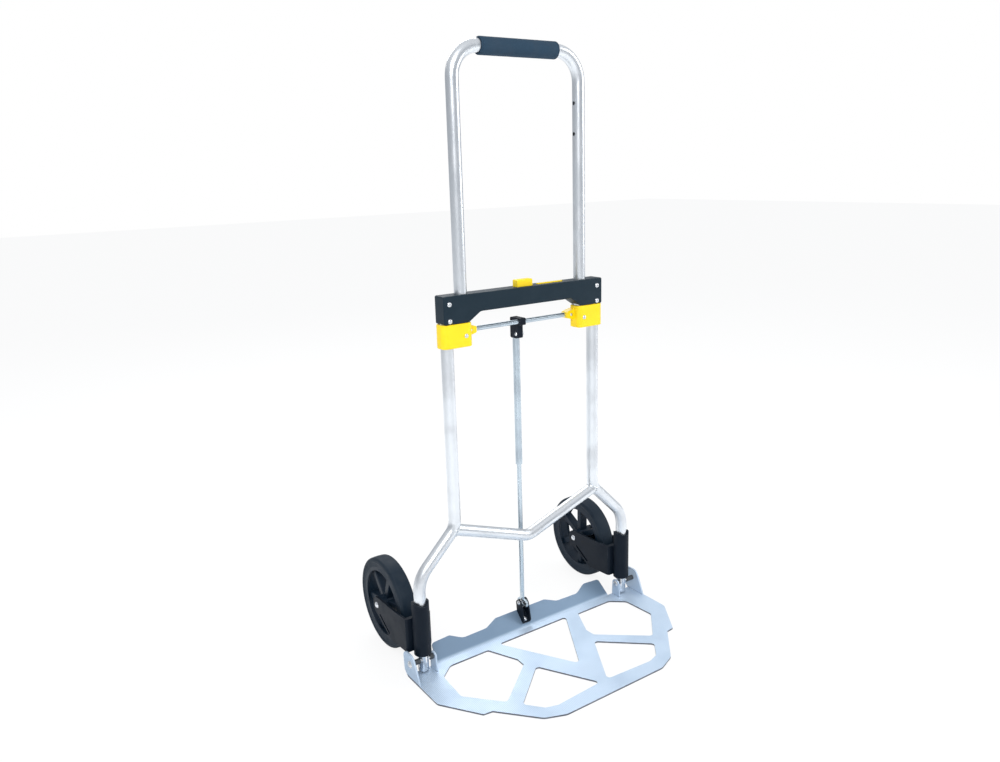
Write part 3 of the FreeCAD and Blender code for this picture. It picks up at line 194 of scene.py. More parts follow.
class Effects:
    """Builds each shared effect as a node group, once."""

    def __init__(self) -> None:
        """Start with no group built."""
        self.built: dict[Effect, bpy.types.NodeTree] = {}
        self.makers: dict[Effect, Callable[[], bpy.types.NodeTree]] = {
            Effect.WORN_EDGES: self.worn_edges,
            Effect.HANDLING_MARKS: self.handling_marks,
            Effect.DRAWN_LINES: self.drawn_lines,
            Effect.MOULDED_GRAIN: self.moulded_grain,
            Effect.SHEET_RIBS: self.sheet_ribs,
            Effect.FOAM_CELLS: self.foam_cells,
        }

    def place(self, graph: Graph, effect: Effect, **values: object) -> bpy.types.Node:
        """Put a group in a material.

        Args:
            graph: the material's graph.
            effect: which group.
            values: the group's inputs, by name with underscores for spaces.

        Returns:
            The group node.
        """
        if effect not in self.built:
            self.built[effect] = self.makers[effect]()
        node = graph.add("ShaderNodeGroup", node_tree=self.built[effect])
        for name, value in values.items():
            graph.feed(node.inputs[name.replace("_", " ").capitalize()], value)
        return node

    @staticmethod
    def start(
        name: str, inputs: dict[str, float], outputs: Iterable[str]
    ) -> tuple[Graph, bpy.types.Node, bpy.types.Node, Socket]:
        """Make an empty group with its sockets.

        Args:
            name: the group's name.
            inputs: each input and the value it starts with.
            outputs: the names of the outputs.

        Returns:
            Its graph, its input node, its output node, and coordinates that ride with the piece.
        """
        tree = bpy.data.node_groups.new(name, "ShaderNodeTree")
        for label, value in inputs.items():
            socket = tree.interface.new_socket(label, in_out="INPUT", socket_type="NodeSocketFloat")
            socket.default_value = value
        for label in outputs:
            tree.interface.new_socket(label, in_out="OUTPUT", socket_type="NodeSocketFloat")
        graph = Graph(tree)
        entry = graph.add("NodeGroupInput")
        leave = graph.add("NodeGroupOutput")
        place = graph.add("ShaderNodeTexCoord").outputs["Object"]
        return graph, entry, leave, place

    def worn_edges(self) -> bpy.types.NodeTree:
        """Edges where the finish has rubbed away, broken up by noise."""
        graph, entry, leave, place = self.start(
            "Worn edges", {"Width": 0.0012, "Patch scale": 90.0}, ("Mask",))
        rounded = graph.add(
            "ShaderNodeBevel", {"Radius": entry.outputs["Width"]}, samples=4).outputs[0]
        true_normal = graph.add("ShaderNodeNewGeometry").outputs["Normal"]
        facing = graph.add(
            "ShaderNodeVectorMath", {0: rounded, 1: true_normal}, operation="DOT_PRODUCT")
        edge = graph.band(facing.outputs["Value"], 0.985, 0.86)
        patches = graph.band(graph.noise(place, entry.outputs["Patch scale"]), 0.38, 0.62)
        graph.feed(leave.inputs["Mask"], graph.math("MULTIPLY", edge, patches))
        return graph.tree

    def handling_marks(self) -> bpy.types.NodeTree:
        """Soft smudges and thin scratches from use."""
        graph, entry, leave, place = self.start(
            "Handling marks", {"Smudge scale": 14.0, "Scratch scale": 60.0},
            ("Smudges", "Scratches"))
        smudges = graph.band(graph.noise(place, entry.outputs["Smudge scale"], 5.0), 0.42, 0.68)
        streaks = graph.add(
            "ShaderNodeMapping", {"Vector": place, "Scale": (1.0, 1.0, 0.12),
                                  "Rotation": (0.35, 0.2, 0.5)})
        lines = graph.noise(streaks.outputs[0], entry.outputs["Scratch scale"], 9.0)
        scratches = graph.band(lines, 0.66, 0.71)
        graph.feed(leave.inputs["Smudges"], smudges)
        graph.feed(leave.inputs["Scratches"], scratches)
        return graph.tree

    def drawn_lines(self) -> bpy.types.NodeTree:
        """Fine lengthwise lines that a die leaves on drawn tube."""
        graph, entry, leave, place = self.start(
            "Drawn lines", {"Fineness": 900.0, "Stretch": 0.02}, ("Height",))
        scale = graph.add("ShaderNodeCombineXYZ", {0: 1.0, 1: 1.0, 2: entry.outputs["Stretch"]})
        stretched = graph.add(
            "ShaderNodeVectorMath", {0: place, 1: scale.outputs[0]}, operation="MULTIPLY")
        lines = graph.noise(stretched.outputs[0], entry.outputs["Fineness"], 3.0)
        graph.feed(leave.inputs["Height"], lines)
        return graph.tree

    def moulded_grain(self) -> bpy.types.NodeTree:
        """The fine pebbled grain of moulded or powder-coated surfaces."""
        graph, entry, leave, place = self.start(
            "Moulded grain", {"Fineness": 1400.0, "Drift scale": 30.0}, ("Height", "Drift"))
        cells = graph.add(
            "ShaderNodeTexVoronoi", {"Vector": place, "Scale": entry.outputs["Fineness"]},
            feature="SMOOTH_F1")
        fine = graph.noise(place, entry.outputs["Fineness"], 2.0)
        graph.feed(leave.inputs["Height"], graph.math("MULTIPLY", cells.outputs["Distance"], fine))
        drift = graph.band(graph.noise(place, entry.outputs["Drift scale"], 3.0), 0.35, 0.7)
        graph.feed(leave.inputs["Drift"], drift)
        return graph.tree

    def sheet_ribs(self) -> bpy.types.NodeTree:
        """Fine ribs rolled into sheet metal, which run from front to back."""
        graph, entry, leave, place = self.start(
            "Sheet ribs", {"Ribs per metre": 330.0}, ("Height", "Grooves"))
        across = graph.add("ShaderNodeSeparateXYZ", {0: place}).outputs[0]
        turns = graph.math("MULTIPLY", across, entry.outputs["Ribs per metre"])
        wave = graph.math("SINE", graph.math("MULTIPLY", turns, math.tau))
        height = graph.band(wave, -1.0, 1.0)
        graph.feed(leave.inputs["Height"], height)
        graph.feed(leave.inputs["Grooves"], graph.band(wave, 0.1, -0.9))
        return graph.tree

    def foam_cells(self) -> bpy.types.NodeTree:
        """The skin of closed-cell foam, with its small open pores."""
        graph, entry, leave, place = self.start(
            "Foam cells", {"Cell scale": 900.0}, ("Height", "Pores"))
        cells = graph.add(
            "ShaderNodeTexVoronoi", {"Vector": place, "Scale": entry.outputs["Cell scale"]})
        pores = graph.band(cells.outputs["Distance"], 0.28, 0.06)
        graph.feed(leave.inputs["Height"], cells.outputs["Distance"])
        graph.feed(leave.inputs["Pores"], pores)
        return graph.tree


EFFECTS = Effects()


# ---------------------------------------------------------------- finishes
@dataclass(frozen=True)
class Finish:
    """A finish: one material slot, one colour and how the surface varies."""

    slot: str
    colour: Colour
    roughness: float
    metallic: float = 0.0
    specular: float = 0.5

    def material(self) -> bpy.types.Material:
        """The finish's material, built the first time it is asked for.

        Returns:
            The material.
        """
        name = f"{self.slot}_finish"
        if name in bpy.data.materials:
            return bpy.data.materials[name]
        made = bpy.data.materials.new(name)
        made.use_nodes = True
        graph = Graph(made.node_tree)
        shader = made.node_tree.nodes["Principled BSDF"]
        shader.inputs["Base Color"].default_value = solid(self.colour)
        shader.inputs["Roughness"].default_value = self.roughness
        shader.inputs["Metallic"].default_value = self.metallic
        shader.inputs["Specular IOR Level"].default_value = self.specular
        self.detail(graph, shader)
        return made

    def detail(self, graph: Graph, shader: bpy.types.Node) -> None:
        """Add what varies over the surface.

        Args:
            graph: the material's graph.
            shader: its Principled shader.
        """
        raise NotImplementedError

    def bump(self, graph: Graph, shader: bpy.types.Node, height: Socket, depth: float,
             strength: float) -> None:
        """Raise the surface by a height map.

        Args:
            graph: the material's graph.
            shader: its Principled shader.
            height: the height, from 0 to 1.
            depth: the height in metres where it is 1.
            strength: how much of it shows.
        """
        node = graph.add(
            "ShaderNodeBump", {"Height": height, "Distance": depth, "Strength": strength})
        graph.feed(shader.inputs["Normal"], node.outputs[0])

    def vary_roughness(self, graph: Graph, shader: bpy.types.Node, mask: Socket,
                       change: float) -> None:
        """Let the roughness drift from its own value by up to change where the mask is 1."""
        node = graph.add(
            "ShaderNodeMapRange", {0: mask, 3: self.roughness, 4: self.roughness + change})
        graph.feed(shader.inputs["Roughness"], node.outputs[0])


@dataclass(frozen=True)
class DrawnMetal(Finish):
    """Bare drawn tube or rod: fine lengthwise lines, smudges and scratches."""

    metallic: float = 1.0
    line_depth: float = 0.00003
    smudged: Colour = (0.5, 0.51, 0.53)
    stretch: float = 0.02
    fineness: float = 1100.0
    smudge_share: float = 0.45
    scratch_share: float = 0.4
    line_strength: float = 0.35

    def detail(self, graph: Graph, shader: bpy.types.Node) -> None:
        """Smudges dull the metal, scratches brighten it, and lines run along it."""
        marks = EFFECTS.place(graph, Effect.HANDLING_MARKS, smudge_scale=16.0, scratch_scale=70.0)
        lines = EFFECTS.place(
            graph, Effect.DRAWN_LINES, fineness=self.fineness, stretch=self.stretch)
        dulled = graph.math("MULTIPLY", marks.outputs["Smudges"], self.smudge_share)
        graph.feed(shader.inputs["Base Color"], graph.blend(dulled, self.colour, self.smudged))
        self.vary_roughness(graph, shader, marks.outputs["Smudges"], 0.12)
        height = graph.math(
            "SUBTRACT", lines.outputs["Height"],
            graph.math("MULTIPLY", marks.outputs["Scratches"], self.scratch_share))
        self.bump(graph, shader, height, self.line_depth, self.line_strength)


@dataclass(frozen=True)
class RibbedPlate(Finish):
    """Silver-blue coated sheet with rolled ribs, worn and dark along its cut edges."""

    metallic: float = 0.35
    # Painted shade: the flange is the same metal as the plate, and this darker blue-grey stands in
    # for the shade it takes where it tilts back.
    flange_shade_colour: Colour = (0.17, 0.25, 0.35)
    # Painted shade in the rib grooves, and also the colour of the real smudges.
    groove_shade_and_soil_colour: Colour = (0.3, 0.4, 0.52)
    edge_colour: Colour = (0.09, 0.1, 0.13)
    rubbed_colour: Colour = (0.62, 0.68, 0.74)
    bend_y: float = 0.023
    flange_half: float = 0.2085
    thickness: float = 0.003
    bend_blend: float = 0.006
    edge_blend: float = 0.001
    ribs_per_metre: float = 330.0
    rib_depth: float = 0.00025
    rib_strength: float = 0.6
    groove_shade_share: float = 0.6
    soil_share: float = 0.3

    def detail(self, graph: Graph, shader: bpy.types.Node) -> None:
        """Ribs on the flat of the plate, painted shade on the flange and in the rib grooves, dark
        cut sides and rubbed edges.
        """
        ribs = EFFECTS.place(graph, Effect.SHEET_RIBS, ribs_per_metre=self.ribs_per_metre)
        marks = EFFECTS.place(graph, Effect.HANDLING_MARKS, smudge_scale=9.0, scratch_scale=45.0)
        worn = EFFECTS.place(graph, Effect.WORN_EDGES, width=0.0009, patch_scale=70.0)
        place = graph.add("ShaderNodeTexCoord")
        height = graph.add("ShaderNodeSeparateXYZ", {0: place.outputs["Object"]})
        behind = graph.band(height.outputs[1], self.bend_y, self.bend_y + self.bend_blend)
        aside = graph.math("ABSOLUTE", height.outputs[0])
        within = graph.band(aside, self.flange_half + self.edge_blend, self.flange_half)
        flange = graph.math("MULTIPLY", behind, within)
        facing = graph.add("ShaderNodeSeparateXYZ", {0: place.outputs["Normal"]})
        upright = graph.math("ABSOLUTE", facing.outputs[2])
        low = graph.band(height.outputs[2], self.thickness + 0.0008, self.thickness + 0.0002)
        cut_side = graph.math("MULTIPLY", graph.band(upright, 0.5, 0.2), low)
        flat = graph.math("SUBTRACT", 1.0, flange)
        grooves = graph.math("MULTIPLY", ribs.outputs["Grooves"], flat)
        soiled = graph.math("MULTIPLY", marks.outputs["Smudges"], self.soil_share)
        # Painted shade: the rib grooves are darkened for the shade that lies in them; the next
        # blend uses the same colour for real smudges.
        shaded = graph.math("MULTIPLY", grooves, self.groove_shade_share)
        colour = graph.blend(shaded, self.colour, self.groove_shade_and_soil_colour)
        colour = graph.blend(soiled, colour, self.groove_shade_and_soil_colour)
        # Painted shade: the flange is coloured darker for the shading it gets, not for a different
        # coat.
        colour = graph.blend(flange, colour, self.flange_shade_colour)
        dark_side = graph.math("MULTIPLY", cut_side, flat)
        colour = graph.blend(dark_side, colour, self.edge_colour)
        colour = graph.blend(worn.outputs["Mask"], colour, self.rubbed_colour)
        graph.feed(shader.inputs["Base Color"], colour)
        self.vary_roughness(graph, shader, marks.outputs["Smudges"], 0.15)
        raised = graph.math("MULTIPLY", ribs.outputs["Height"], flat)
        self.bump(graph, shader, raised, self.rib_depth, self.rib_strength)


@dataclass(frozen=True)
class MouldedPlastic(Finish):
    """Moulded plastic with a fine grain and edges polished by use."""

    edge_colour: Colour = (0.1, 0.12, 0.14)
    drift_colour: Colour = (0.03, 0.04, 0.05)
    fineness: float = 1500.0
    depth: float = 0.00008
    strength: float = 0.35
    drift_share: float = 0.5

    def detail(self, graph: Graph, shader: bpy.types.Node) -> None:
        """Grain, a slow drift in colour, smudges in the gloss and lighter edges."""
        grain = EFFECTS.place(graph, Effect.MOULDED_GRAIN, fineness=self.fineness)
        worn = EFFECTS.place(graph, Effect.WORN_EDGES, width=0.001, patch_scale=60.0)
        marks = EFFECTS.place(graph, Effect.HANDLING_MARKS, smudge_scale=20.0)
        drift = graph.math("MULTIPLY", grain.outputs["Drift"], self.drift_share)
        colour = graph.blend(drift, self.colour, self.drift_colour)
        colour = graph.blend(worn.outputs["Mask"], colour, self.edge_colour)
        graph.feed(shader.inputs["Base Color"], colour)
        self.vary_roughness(graph, shader, marks.outputs["Smudges"], 0.12)
        self.bump(graph, shader, grain.outputs["Height"], self.depth, self.strength)


@dataclass(frozen=True)
class TyreRubber(Finish):
    """Solid tyre rubber, dusty where it rolls and satin on its sides."""

    dust: Colour = (0.1, 0.1, 0.1)
    dust_share: float = 0.22
    rubbed_share: float = 0.5
    grain_depth: float = 0.00015
    grain_strength: float = 0.4

    def detail(self, graph: Graph, shader: bpy.types.Node) -> None:
        """A faint grain, with dust in uneven patches."""
        grain = EFFECTS.place(graph, Effect.MOULDED_GRAIN, fineness=900.0, drift_scale=45.0)
        worn = EFFECTS.place(graph, Effect.WORN_EDGES, width=0.002, patch_scale=110.0)
        dusty = graph.math("MULTIPLY", grain.outputs["Drift"], self.dust_share)
        colour = graph.blend(dusty, self.colour, self.dust)
        rubbed = graph.math("MULTIPLY", worn.outputs["Mask"], self.rubbed_share)
        graph.feed(shader.inputs["Base Color"], graph.blend(rubbed, colour, self.dust))
        self.vary_roughness(graph, shader, grain.outputs["Drift"], 0.15)
        self.bump(graph, shader, grain.outputs["Height"], self.grain_depth, self.grain_strength)


@dataclass(frozen=True)
class FoamSkin(Finish):
    """The matt skin of a foam grip, with open pores and pressed patches."""

    # Painted shade: the colour that the open pores are darkened to, for the shade inside them.
    pore_shade_colour: Colour = (0.008, 0.014, 0.022)
    pressed_colour: Colour = (0.02, 0.04, 0.065)
    pressed_share: float = 0.35
    cell_depth: float = 0.0004
    cell_strength: float = 0.5

    def detail(self, graph: Graph, shader: bpy.types.Node) -> None:
        """Painted shade in the pores of a cellular skin, a little smoother where hands have pressed
        it.
        """
        cells = EFFECTS.place(graph, Effect.FOAM_CELLS, cell_scale=850.0)
        marks = EFFECTS.place(graph, Effect.HANDLING_MARKS, smudge_scale=28.0)
        # Painted shade: the pits of the foam cells are darkened for the shade inside them.
        colour = graph.blend(cells.outputs["Pores"], self.colour, self.pore_shade_colour)
        pressed = graph.math("MULTIPLY", marks.outputs["Smudges"], self.pressed_share)
        graph.feed(
            shader.inputs["Base Color"], graph.blend(pressed, colour, self.pressed_colour))
        self.vary_roughness(graph, shader, marks.outputs["Smudges"], -0.15)
        self.bump(graph, shader, cells.outputs["Height"], self.cell_depth, self.cell_strength)


@dataclass(frozen=True)
class PlatedMetal(Finish):
    """Plated or polished small metal parts, with tarnish and rubbed edges."""

    metallic: float = 1.0
    tarnish: Colour = (0.3, 0.31, 0.33)
    bright: Colour = (0.9, 0.9, 0.9)
    tarnish_share: float = 0.5
    scratch_depth: float = 0.00003
    scratch_strength: float = 0.3

    def detail(self, graph: Graph, shader: bpy.types.Node) -> None:
        """Tarnish in patches, bright rubbed edges and a faint grain."""
        marks = EFFECTS.place(graph, Effect.HANDLING_MARKS, smudge_scale=120.0, scratch_scale=300.0)
        worn = EFFECTS.place(graph, Effect.WORN_EDGES, width=0.0006, patch_scale=300.0)
        tarnished = graph.math("MULTIPLY", marks.outputs["Smudges"], self.tarnish_share)
        colour = graph.blend(tarnished, self.colour, self.tarnish)
        graph.feed(
            shader.inputs["Base Color"],
            graph.blend(worn.outputs["Mask"], colour, self.bright))
        self.vary_roughness(graph, shader, marks.outputs["Smudges"], 0.15)
        self.bump(
            graph, shader, marks.outputs["Scratches"], self.scratch_depth, self.scratch_strength)


TUBE = DrawnMetal("aluminium_tube", (0.74, 0.77, 0.8), 0.3)
STRUT = DrawnMetal("strut_steel", (0.52, 0.6, 0.66), 0.27, smudged=(0.33, 0.38, 0.43))
PLATE = RibbedPlate("plate_metal", (0.58, 0.7, 0.84), 0.42)
HOUSING = MouldedPlastic(
    "grey_plastic", (0.005, 0.017, 0.028), 0.42, specular=0.22, edge_colour=(0.04, 0.06, 0.08),
    drift_colour=(0.009, 0.022, 0.034))
YELLOW = MouldedPlastic(
    "yellow_plastic", (0.95, 0.68, 0.0), 0.36, edge_colour=(1.0, 0.82, 0.12),
    drift_colour=(0.9, 0.6, 0.0), strength=0.15)
WHEEL = MouldedPlastic(
    "wheel_plastic", (0.004, 0.012, 0.024), 0.46, specular=0.2, edge_colour=(0.03, 0.045, 0.06),
    drift_colour=(0.007, 0.015, 0.026))
COATED = MouldedPlastic(
    "bracket_black", (0.002, 0.006, 0.013), 0.5, specular=0.16, edge_colour=(0.05, 0.06, 0.075),
    drift_colour=(0.004, 0.009, 0.016), fineness=900.0, depth=0.00012, strength=0.5)
BUSH = MouldedPlastic("bush_plastic", (0.06, 0.065, 0.07), 0.5)
TYRE = TyreRubber(
    "tyre_rubber", (0.005, 0.014, 0.026), 0.52, specular=0.2, dust=(0.04, 0.05, 0.06))
FOAM = FoamSkin("foam", (0.02, 0.048, 0.082), 0.86, specular=0.25)
CHROME = PlatedMetal("chrome", (0.78, 0.8, 0.83), 0.14)
STEEL = PlatedMetal("steel", (0.68, 0.7, 0.72), 0.24)
SPRING = PlatedMetal("spring_steel", (0.45, 0.45, 0.46), 0.3)


# ---------------------------------------------------------------- piece helpers
def dress(finish: Finish, *names: str) -> None:
    """Give CAD nodes a finish.

    Args:
        finish: the finish.
        names: the nodes.
    """
    for name in names:
        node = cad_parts[name]
        node.data.materials.clear()
        node.data.materials.append(finish.material())
        for polygon in node.data.polygons:
            polygon.material_index = 0
        log.info("dressed %s with %s", name, finish.slot)


def new_piece(name: str, mesh: bmesh.types.BMesh, finish: Finish, body: str) -> Mesh:
    """Turn a mesh into a named piece that rides a body.

    Args:
        name: the piece's name.
        mesh: its mesh, which is freed.
        finish: its finish.
        body: the CAD body that it rides.

    Returns:
        The piece.
    """
    bmesh.ops.recalc_face_normals(mesh, faces=mesh.faces)
    data = bpy.data.meshes.new(name)
    mesh.to_mesh(data)
    mesh.free()
    for polygon in data.polygons:
        polygon.use_smooth = True
    data.materials.append(finish.material())
    piece = bpy.data.objects.new(name, data)
    bpy.context.scene.collection.objects.link(piece)
    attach(piece, body)
    log.info("built %s on %s", name, body)
    return piece


def join_rings(mesh: bmesh.types.BMesh, rings: list[list[bmesh.types.BMVert]]) -> None:
    """Make faces between each ring of points and the next, and from the last to the first.

    Args:
        mesh: the mesh that holds the points.
        rings: closed rings, all with the same number of points.
    """
    for index, ring in enumerate(rings):
        following = rings[(index + 1) % len(rings)]
        for spot in range(len(ring)):
            after = (spot + 1) % len(ring)
            mesh.faces.new((ring[spot], ring[after], following[after], following[spot]))


# ---------------------------------------------------------------- sub-assemblies
@dataclass
class Handle:
    """The telescopic handle, with its grip, sliders and cross rod."""

    grip_segments: int = 72
    grip_rings: int = 90
    end_round: float = 2.2 * MM
    end_rings: int = 7
    unevenness: float = 0.22 * MM
    wrinkle_scale: float = 70.0
    bore_room: float = 0.05 * MM
    fill: float = 0.9

    def build(self) -> None:
        """Dress the metal and plastic, and make the foam sleeve."""
        dress(TUBE, "handle_tube")
        dress(YELLOW, "slider_left", "slider_right")
        dress(STEEL, "slider_screws", "lug_rivets")
        dress(STRUT, "cross_rod")
        self.foam_sleeve()

    def foam_sleeve(self) -> Mesh:
        """The foam sleeve: slightly uneven, with soft round ends and an open bore.

        Returns:
            The sleeve.
        """
        low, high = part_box("foam_grip")
        middle = (low + high) / 2
        outer = (high.z - low.z) / 2
        bore = (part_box("handle_tube")[1].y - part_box("handle_tube")[0].y) / 2 + self.bore_room
        mesh = bmesh.new()
        rings = [
            self.ring(mesh, middle, x, radius)
            for x, radius in self.profile(low.x, high.x, bore, outer)]
        join_rings(mesh, rings)
        sleeve = new_piece("foam_sleeve", mesh, FOAM, "handle")
        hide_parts("foam_grip")
        return sleeve

    def profile(self, start: float, end: float, bore: float,
                outer: float) -> list[tuple[float, float]]:
        """The section of the sleeve as places along X, each with its radius.

        Args:
            start: where the sleeve starts.
            end: where it ends.
            bore: the radius of its hole.
            outer: its outer radius.

        Returns:
            A closed line of (x, radius).
        """
        turn = [index / self.end_rings * math.pi / 2 for index in range(self.end_rings + 1)]
        soft = self.end_round
        first = [
            (start + soft * (1 - math.sin(angle)), outer - soft * (1 - math.cos(angle)))
            for angle in reversed(turn)]
        last = [(start + end - x, radius) for x, radius in reversed(first)]
        body_start = start + soft
        step = (end - start - 2 * soft) / self.grip_rings
        body = [(body_start + step * index, outer) for index in range(1, self.grip_rings)]
        line = [(start, bore)] + first[::-1] + body + last[::-1] + [(end, bore)]
        return line

    def ring(self, mesh: bmesh.types.BMesh, middle: Vector, x: float,
             radius: float) -> list[bmesh.types.BMVert]:
        """One ring of the sleeve, with the small unevenness of foam.

        Args:
            mesh: the mesh it goes in.
            middle: a point on the sleeve's axis.
            x: where the ring is.
            radius: its radius before it is made uneven.

        Returns:
            The ring's points.
        """
        points = []
        for index in range(self.grip_segments):
            angle = math.tau * index / self.grip_segments
            out = Vector((0.0, math.cos(angle), math.sin(angle)))
            spot = Vector((x, middle.y, middle.z)) + out * radius
            dip = noise.noise(spot * self.wrinkle_scale) * self.unevenness
            points.append(mesh.verts.new(spot - out * max(0.0, dip)))
        return points


@dataclass
class LowerFrame:
    """The bent lower tubes, their cross tube with its welds, and the feet."""

    cross_slope_drop: float = 57.0 * MM
    bend_radius: float = 34.0 * MM
    bead_radius: float = 1.5 * MM
    bead_points: int = 96
    bead_section: int = 10
    ripples: int = 30
    ripple: float = 0.35 * MM
    search_start: float = 80.0 * MM
    skin_share: float = 0.995
    least_length: float = 0.1

    def build(self) -> None:
        """Dress the tubes and feet, and weld the cross tube on."""
        dress(TUBE, "lower_tube_left", "lower_tube_right", "lower_cross_tube")
        dress(CHROME, "leg_foot_left", "leg_foot_right")
        for side in Side:
            self.weld_bead(side)

    def weld_bead(self, side: Side) -> Mesh:
        """The rippled weld round one end of the cross tube.

        Args:
            side: which end.

        Returns:
            The bead.
        """
        line = self.joint_line(side)
        mesh = bmesh.new()
        rings = []
        for index, spot in enumerate(line):
            along = (line[(index + 1) % len(line)] - line[index - 1]).normalized()
            outward = Vector((0.0, 1.0, 0.0)).cross(along)
            if outward.length < self.least_length:
                outward = Vector((1.0, 0.0, 0.0)).cross(along)
            outward.normalize()
            sideways = along.cross(outward)
            phase = math.tau * self.ripples * index / len(line)
            radius = self.bead_radius + self.ripple * abs(math.sin(phase / 2))
            rings.append([
                mesh.verts.new(spot + radius * (
                    outward * math.cos(math.tau * turn / self.bead_section)
                    + sideways * math.sin(math.tau * turn / self.bead_section)))
                for turn in range(self.bead_section)])
        join_rings(mesh, rings)
        return new_piece(f"weld_bead_{side.word}", mesh, TUBE, "frame")

    def joint_line(self, side: Side) -> list[Vector]:
        """The closed line where the cross tube's skin meets a lower tube.

        Args:
            side: which end of the cross tube.

        Returns:
            The line's points.
        """
        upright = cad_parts[f"lower_tube_{side.word}"].data
        tree = BVHTree.FromPolygons(
            [vertex.co for vertex in upright.vertices],
            [tuple(polygon.vertices) for polygon in upright.polygons])
        low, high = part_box("lower_cross_tube")
        tube_r = (high.y - low.y) / 2
        slope = self.cross_slope_drop / (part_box("lower_tube_right")[0].x + tube_r)
        along = Vector((side.value, 0.0, slope)).normalized()
        upward = Vector((-slope * side.value, 0.0, 1.0)).normalized()
        across = Vector((0.0, 1.0, 0.0))
        start = Vector((0.0, (low.y + high.y) / 2, self.apex_height(low.z + tube_r, slope)))
        begin = start + along * self.search_start
        line = []
        for index in range(self.bead_points):
            angle = math.tau * index / self.bead_points
            skin = begin + tube_r * (
                upward * math.sin(angle) + across * math.cos(angle) * self.skin_share)
            hit = tree.ray_cast(skin, along)[0]
            if hit is not None:
                line.append(hit)
        return line

    def apex_height(self, bend_z: float, slope: float) -> float:
        """The height where the two straight axes of the cross tube would meet.

        Args:
            bend_z: the height of the bent axis at its lowest.
            slope: the rise of each arm.

        Returns:
            The height.
        """
        return bend_z - self.bend_radius * (math.sqrt(1 + slope * slope) - 1)


@dataclass
class Housing:
    """The crossbar housing with its rivets, its release button and its locks."""

    def build(self) -> None:
        """Dress every piece of the housing."""
        dress(HOUSING, "housing_front", "housing_back")
        dress(STEEL, "housing_rivets")
        dress(YELLOW, "release_button", "latch_bar")
        dress(SPRING, "button_spring")
        for side in Side:
            dress(BUSH, f"guide_bush_{side.word}")
            dress(STEEL, f"lock_pin_{side.word}")
            dress(SPRING, f"lock_spring_{side.word}")


@dataclass
class Strut:
    """The telescopic strut from the cross rod to the flange."""

    def build(self) -> None:
        """Dress the clamp, the tube, the rod and the clevis."""
        dress(STRUT, "strut_tube", "strut_rod")
        dress(COATED, "strut_clamp", "strut_clevis")
        dress(STEEL, "clamp_screw", "clevis_pin", "clevis_rivet")
        dress(BUSH, "strut_bush")


@dataclass
class Platform:
    """The folding toe plate and its hinges."""

    def build(self) -> None:
        """Dress the plate, the hinge pins and their spacers."""
        dress(PLATE, "toe_plate")
        dress(STEEL, "hinge_pin_left", "hinge_pin_right")
        dress(BUSH, "hinge_spacers")


@dataclass
class Wheel:
    """One wheel with its fork bracket."""

    side: Side

    def build(self) -> None:
        """Dress the bracket, the axle and the wheel."""
        dress(COATED, f"wheel_bracket_{self.side.word}")
        dress(CHROME, f"axle_{self.side.word}")
        dress(TYRE, f"tyre_{self.side.word}")
        dress(WHEEL, f"rim_{self.side.word}")
        dress(BUSH, f"wheel_bushes_{self.side.word}")


# ---------------------------------------------------------------- studio
@dataclass(frozen=True)
class SoftLight:
    """A rectangular soft light: its place, its width and height, and its power in watts."""

    name: str
    place: tuple[float, float, float]
    size: tuple[float, float]
    power: float


LIGHTS = (
    SoftLight("key", (-1.6, -1.9, 2.3), (1.2, 1.6), 52.0),
    SoftLight("fill", (2.4, -1.2, 1.5), (0.8, 2.0), 24.0),
    SoftLight("rim", (0.6, 2.2, 2.4), (1.8, 1.0), 30.0),
)


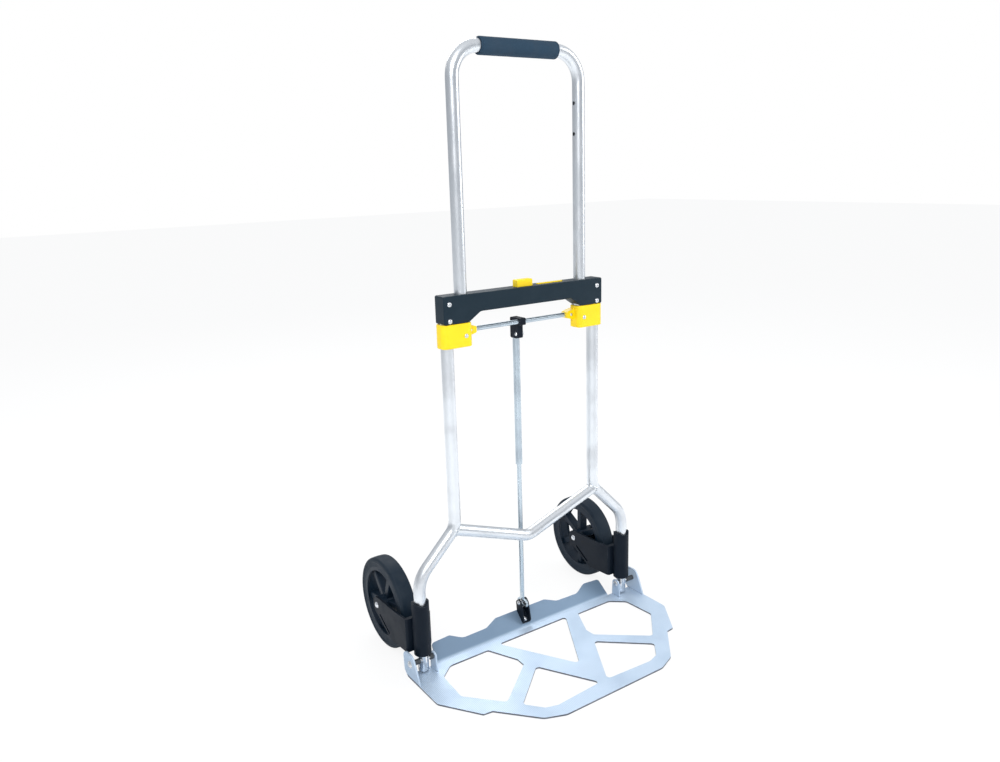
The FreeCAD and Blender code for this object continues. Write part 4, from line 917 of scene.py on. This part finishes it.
@dataclass
class Studio:
    """A pale seamless floor, soft lights and the camera."""

    floor_size: float = 30.0
    floor_colour: Colour = (0.93, 0.935, 0.94)
    floor_glow: float = 0.85
    camera_place: tuple[float, float, float] = (-0.8653, -1.1748, 0.8833)
    camera_azimuth: float = -34.185
    camera_elevation: float = 14.318
    camera_roll: float = -1.677
    camera_lens: float = 30.024
    sensor_width: float = 36.0
    horizon: Colour = (0.5, 0.53, 0.57)
    zenith: Colour = (0.95, 0.97, 1.0)
    zenith_height: float = 0.8
    sky_strength: float = 0.85
    floor_roughness: float = 0.9
    aim_height: float = 0.45

    def build(self) -> None:
        """Make the floor, the sky, the lights and the camera."""
        bpy.context.scene.view_settings.view_transform = "Standard"
        self.floor()
        self.sky()
        for light in LIGHTS:
            self.hang(light)
        self.camera()

    def floor(self) -> None:
        """A wide pale floor, which is nearly white where it is seen directly."""
        mesh = bmesh.new()
        bmesh.ops.create_grid(mesh, x_segments=8, y_segments=8, size=self.floor_size / 2)
        data = bpy.data.meshes.new("studio_floor")
        mesh.to_mesh(data)
        mesh.free()
        paint = bpy.data.materials.new("studio_floor_paint")
        paint.use_nodes = True
        shader = paint.node_tree.nodes["Principled BSDF"]
        shader.inputs["Base Color"].default_value = solid(self.floor_colour)
        shader.inputs["Roughness"].default_value = self.floor_roughness
        graph = Graph(paint.node_tree)
        glow = graph.add("ShaderNodeEmission", {"Color": (1.0, 1.0, 1.0, 1.0), "Strength": 1.0})
        direct = graph.add("ShaderNodeLightPath").outputs["Is Camera Ray"]
        share = graph.math("MULTIPLY", direct, self.floor_glow)
        mixed = graph.add(
            "ShaderNodeMixShader", {0: share, 1: shader.outputs[0], 2: glow.outputs[0]})
        graph.feed(paint.node_tree.nodes["Material Output"].inputs["Surface"], mixed.outputs[0])
        data.materials.append(paint)
        floor = bpy.data.objects.new("studio_floor", data)
        bpy.context.scene.collection.objects.link(floor)

    def sky(self) -> None:
        """A sky that is bright above and greyer at its edge, white where it is seen directly."""
        world = bpy.data.worlds.new("studio_sky")
        bpy.context.scene.world = world
        world.use_nodes = True
        graph = Graph(world.node_tree)
        world.node_tree.nodes.clear()
        way = graph.add("ShaderNodeTexCoord").outputs["Generated"]
        height = graph.add("ShaderNodeSeparateXYZ", {0: way}).outputs[2]
        tone = graph.blend(graph.band(height, 0.0, self.zenith_height), self.horizon, self.zenith)
        lit = graph.add("ShaderNodeBackground", {"Color": tone, "Strength": self.sky_strength})
        seen = graph.add(
            "ShaderNodeBackground", {"Color": (1.0, 1.0, 1.0, 1.0), "Strength": 1.0})
        direct = graph.add("ShaderNodeLightPath").outputs["Is Camera Ray"]
        mixed = graph.add(
            "ShaderNodeMixShader", {0: direct, 1: lit.outputs[0], 2: seen.outputs[0]})
        graph.add("ShaderNodeOutputWorld", {"Surface": mixed.outputs[0]})

    def hang(self, soft: SoftLight) -> None:
        """Hang one soft light so that it points at the middle of the truck.

        Args:
            soft: the light.
        """
        data = bpy.data.lights.new(f"{soft.name}_light", "AREA")
        data.shape = "RECTANGLE"
        data.size, data.size_y = soft.size
        data.energy = soft.power
        light = bpy.data.objects.new(f"{soft.name}_light", data)
        light.location = soft.place
        towards = Vector((0.0, 0.0, self.aim_height)) - Vector(soft.place)
        light.rotation_euler = towards.to_track_quat("-Z", "Y").to_euler()
        bpy.context.scene.collection.objects.link(light)

    def camera(self) -> None:
        """The camera, in front and to the left, a little above the middle of the truck."""
        data = bpy.data.cameras.new("main_camera")
        data.sensor_width = self.sensor_width
        data.lens = self.camera_lens
        turn = math.radians(self.camera_azimuth)
        rise = math.radians(self.camera_elevation)
        roll = math.radians(self.camera_roll)
        back = Vector((
            math.sin(turn) * math.cos(rise), -math.cos(turn) * math.cos(rise), math.sin(rise)))
        level = Vector((math.cos(turn), math.sin(turn), 0.0))
        upward = back.cross(level)
        right = level * math.cos(roll) + upward * math.sin(roll)
        top = upward * math.cos(roll) - level * math.sin(roll)
        camera = bpy.data.objects.new("main_camera", data)
        axes = Matrix((right, top, back)).transposed().to_4x4()
        camera.matrix_world = Matrix.Translation(Vector(self.camera_place)) @ axes
        bpy.context.scene.collection.objects.link(camera)
        bpy.context.scene.camera = camera


def main() -> None:
    """Build and dress the whole truck, then the studio round it."""
    logging.basicConfig(level=logging.INFO, format="%(name)s: %(message)s")
    assemblies = [
        LowerFrame(), Handle(), Housing(), Strut(), Platform(),
        Wheel(Side.LEFT), Wheel(Side.RIGHT), Studio(),
    ]
    for assembly in assemblies:
        assembly.build()
        log.info("finished %s", type(assembly).__name__)


if __name__ == "__main__":
    main()
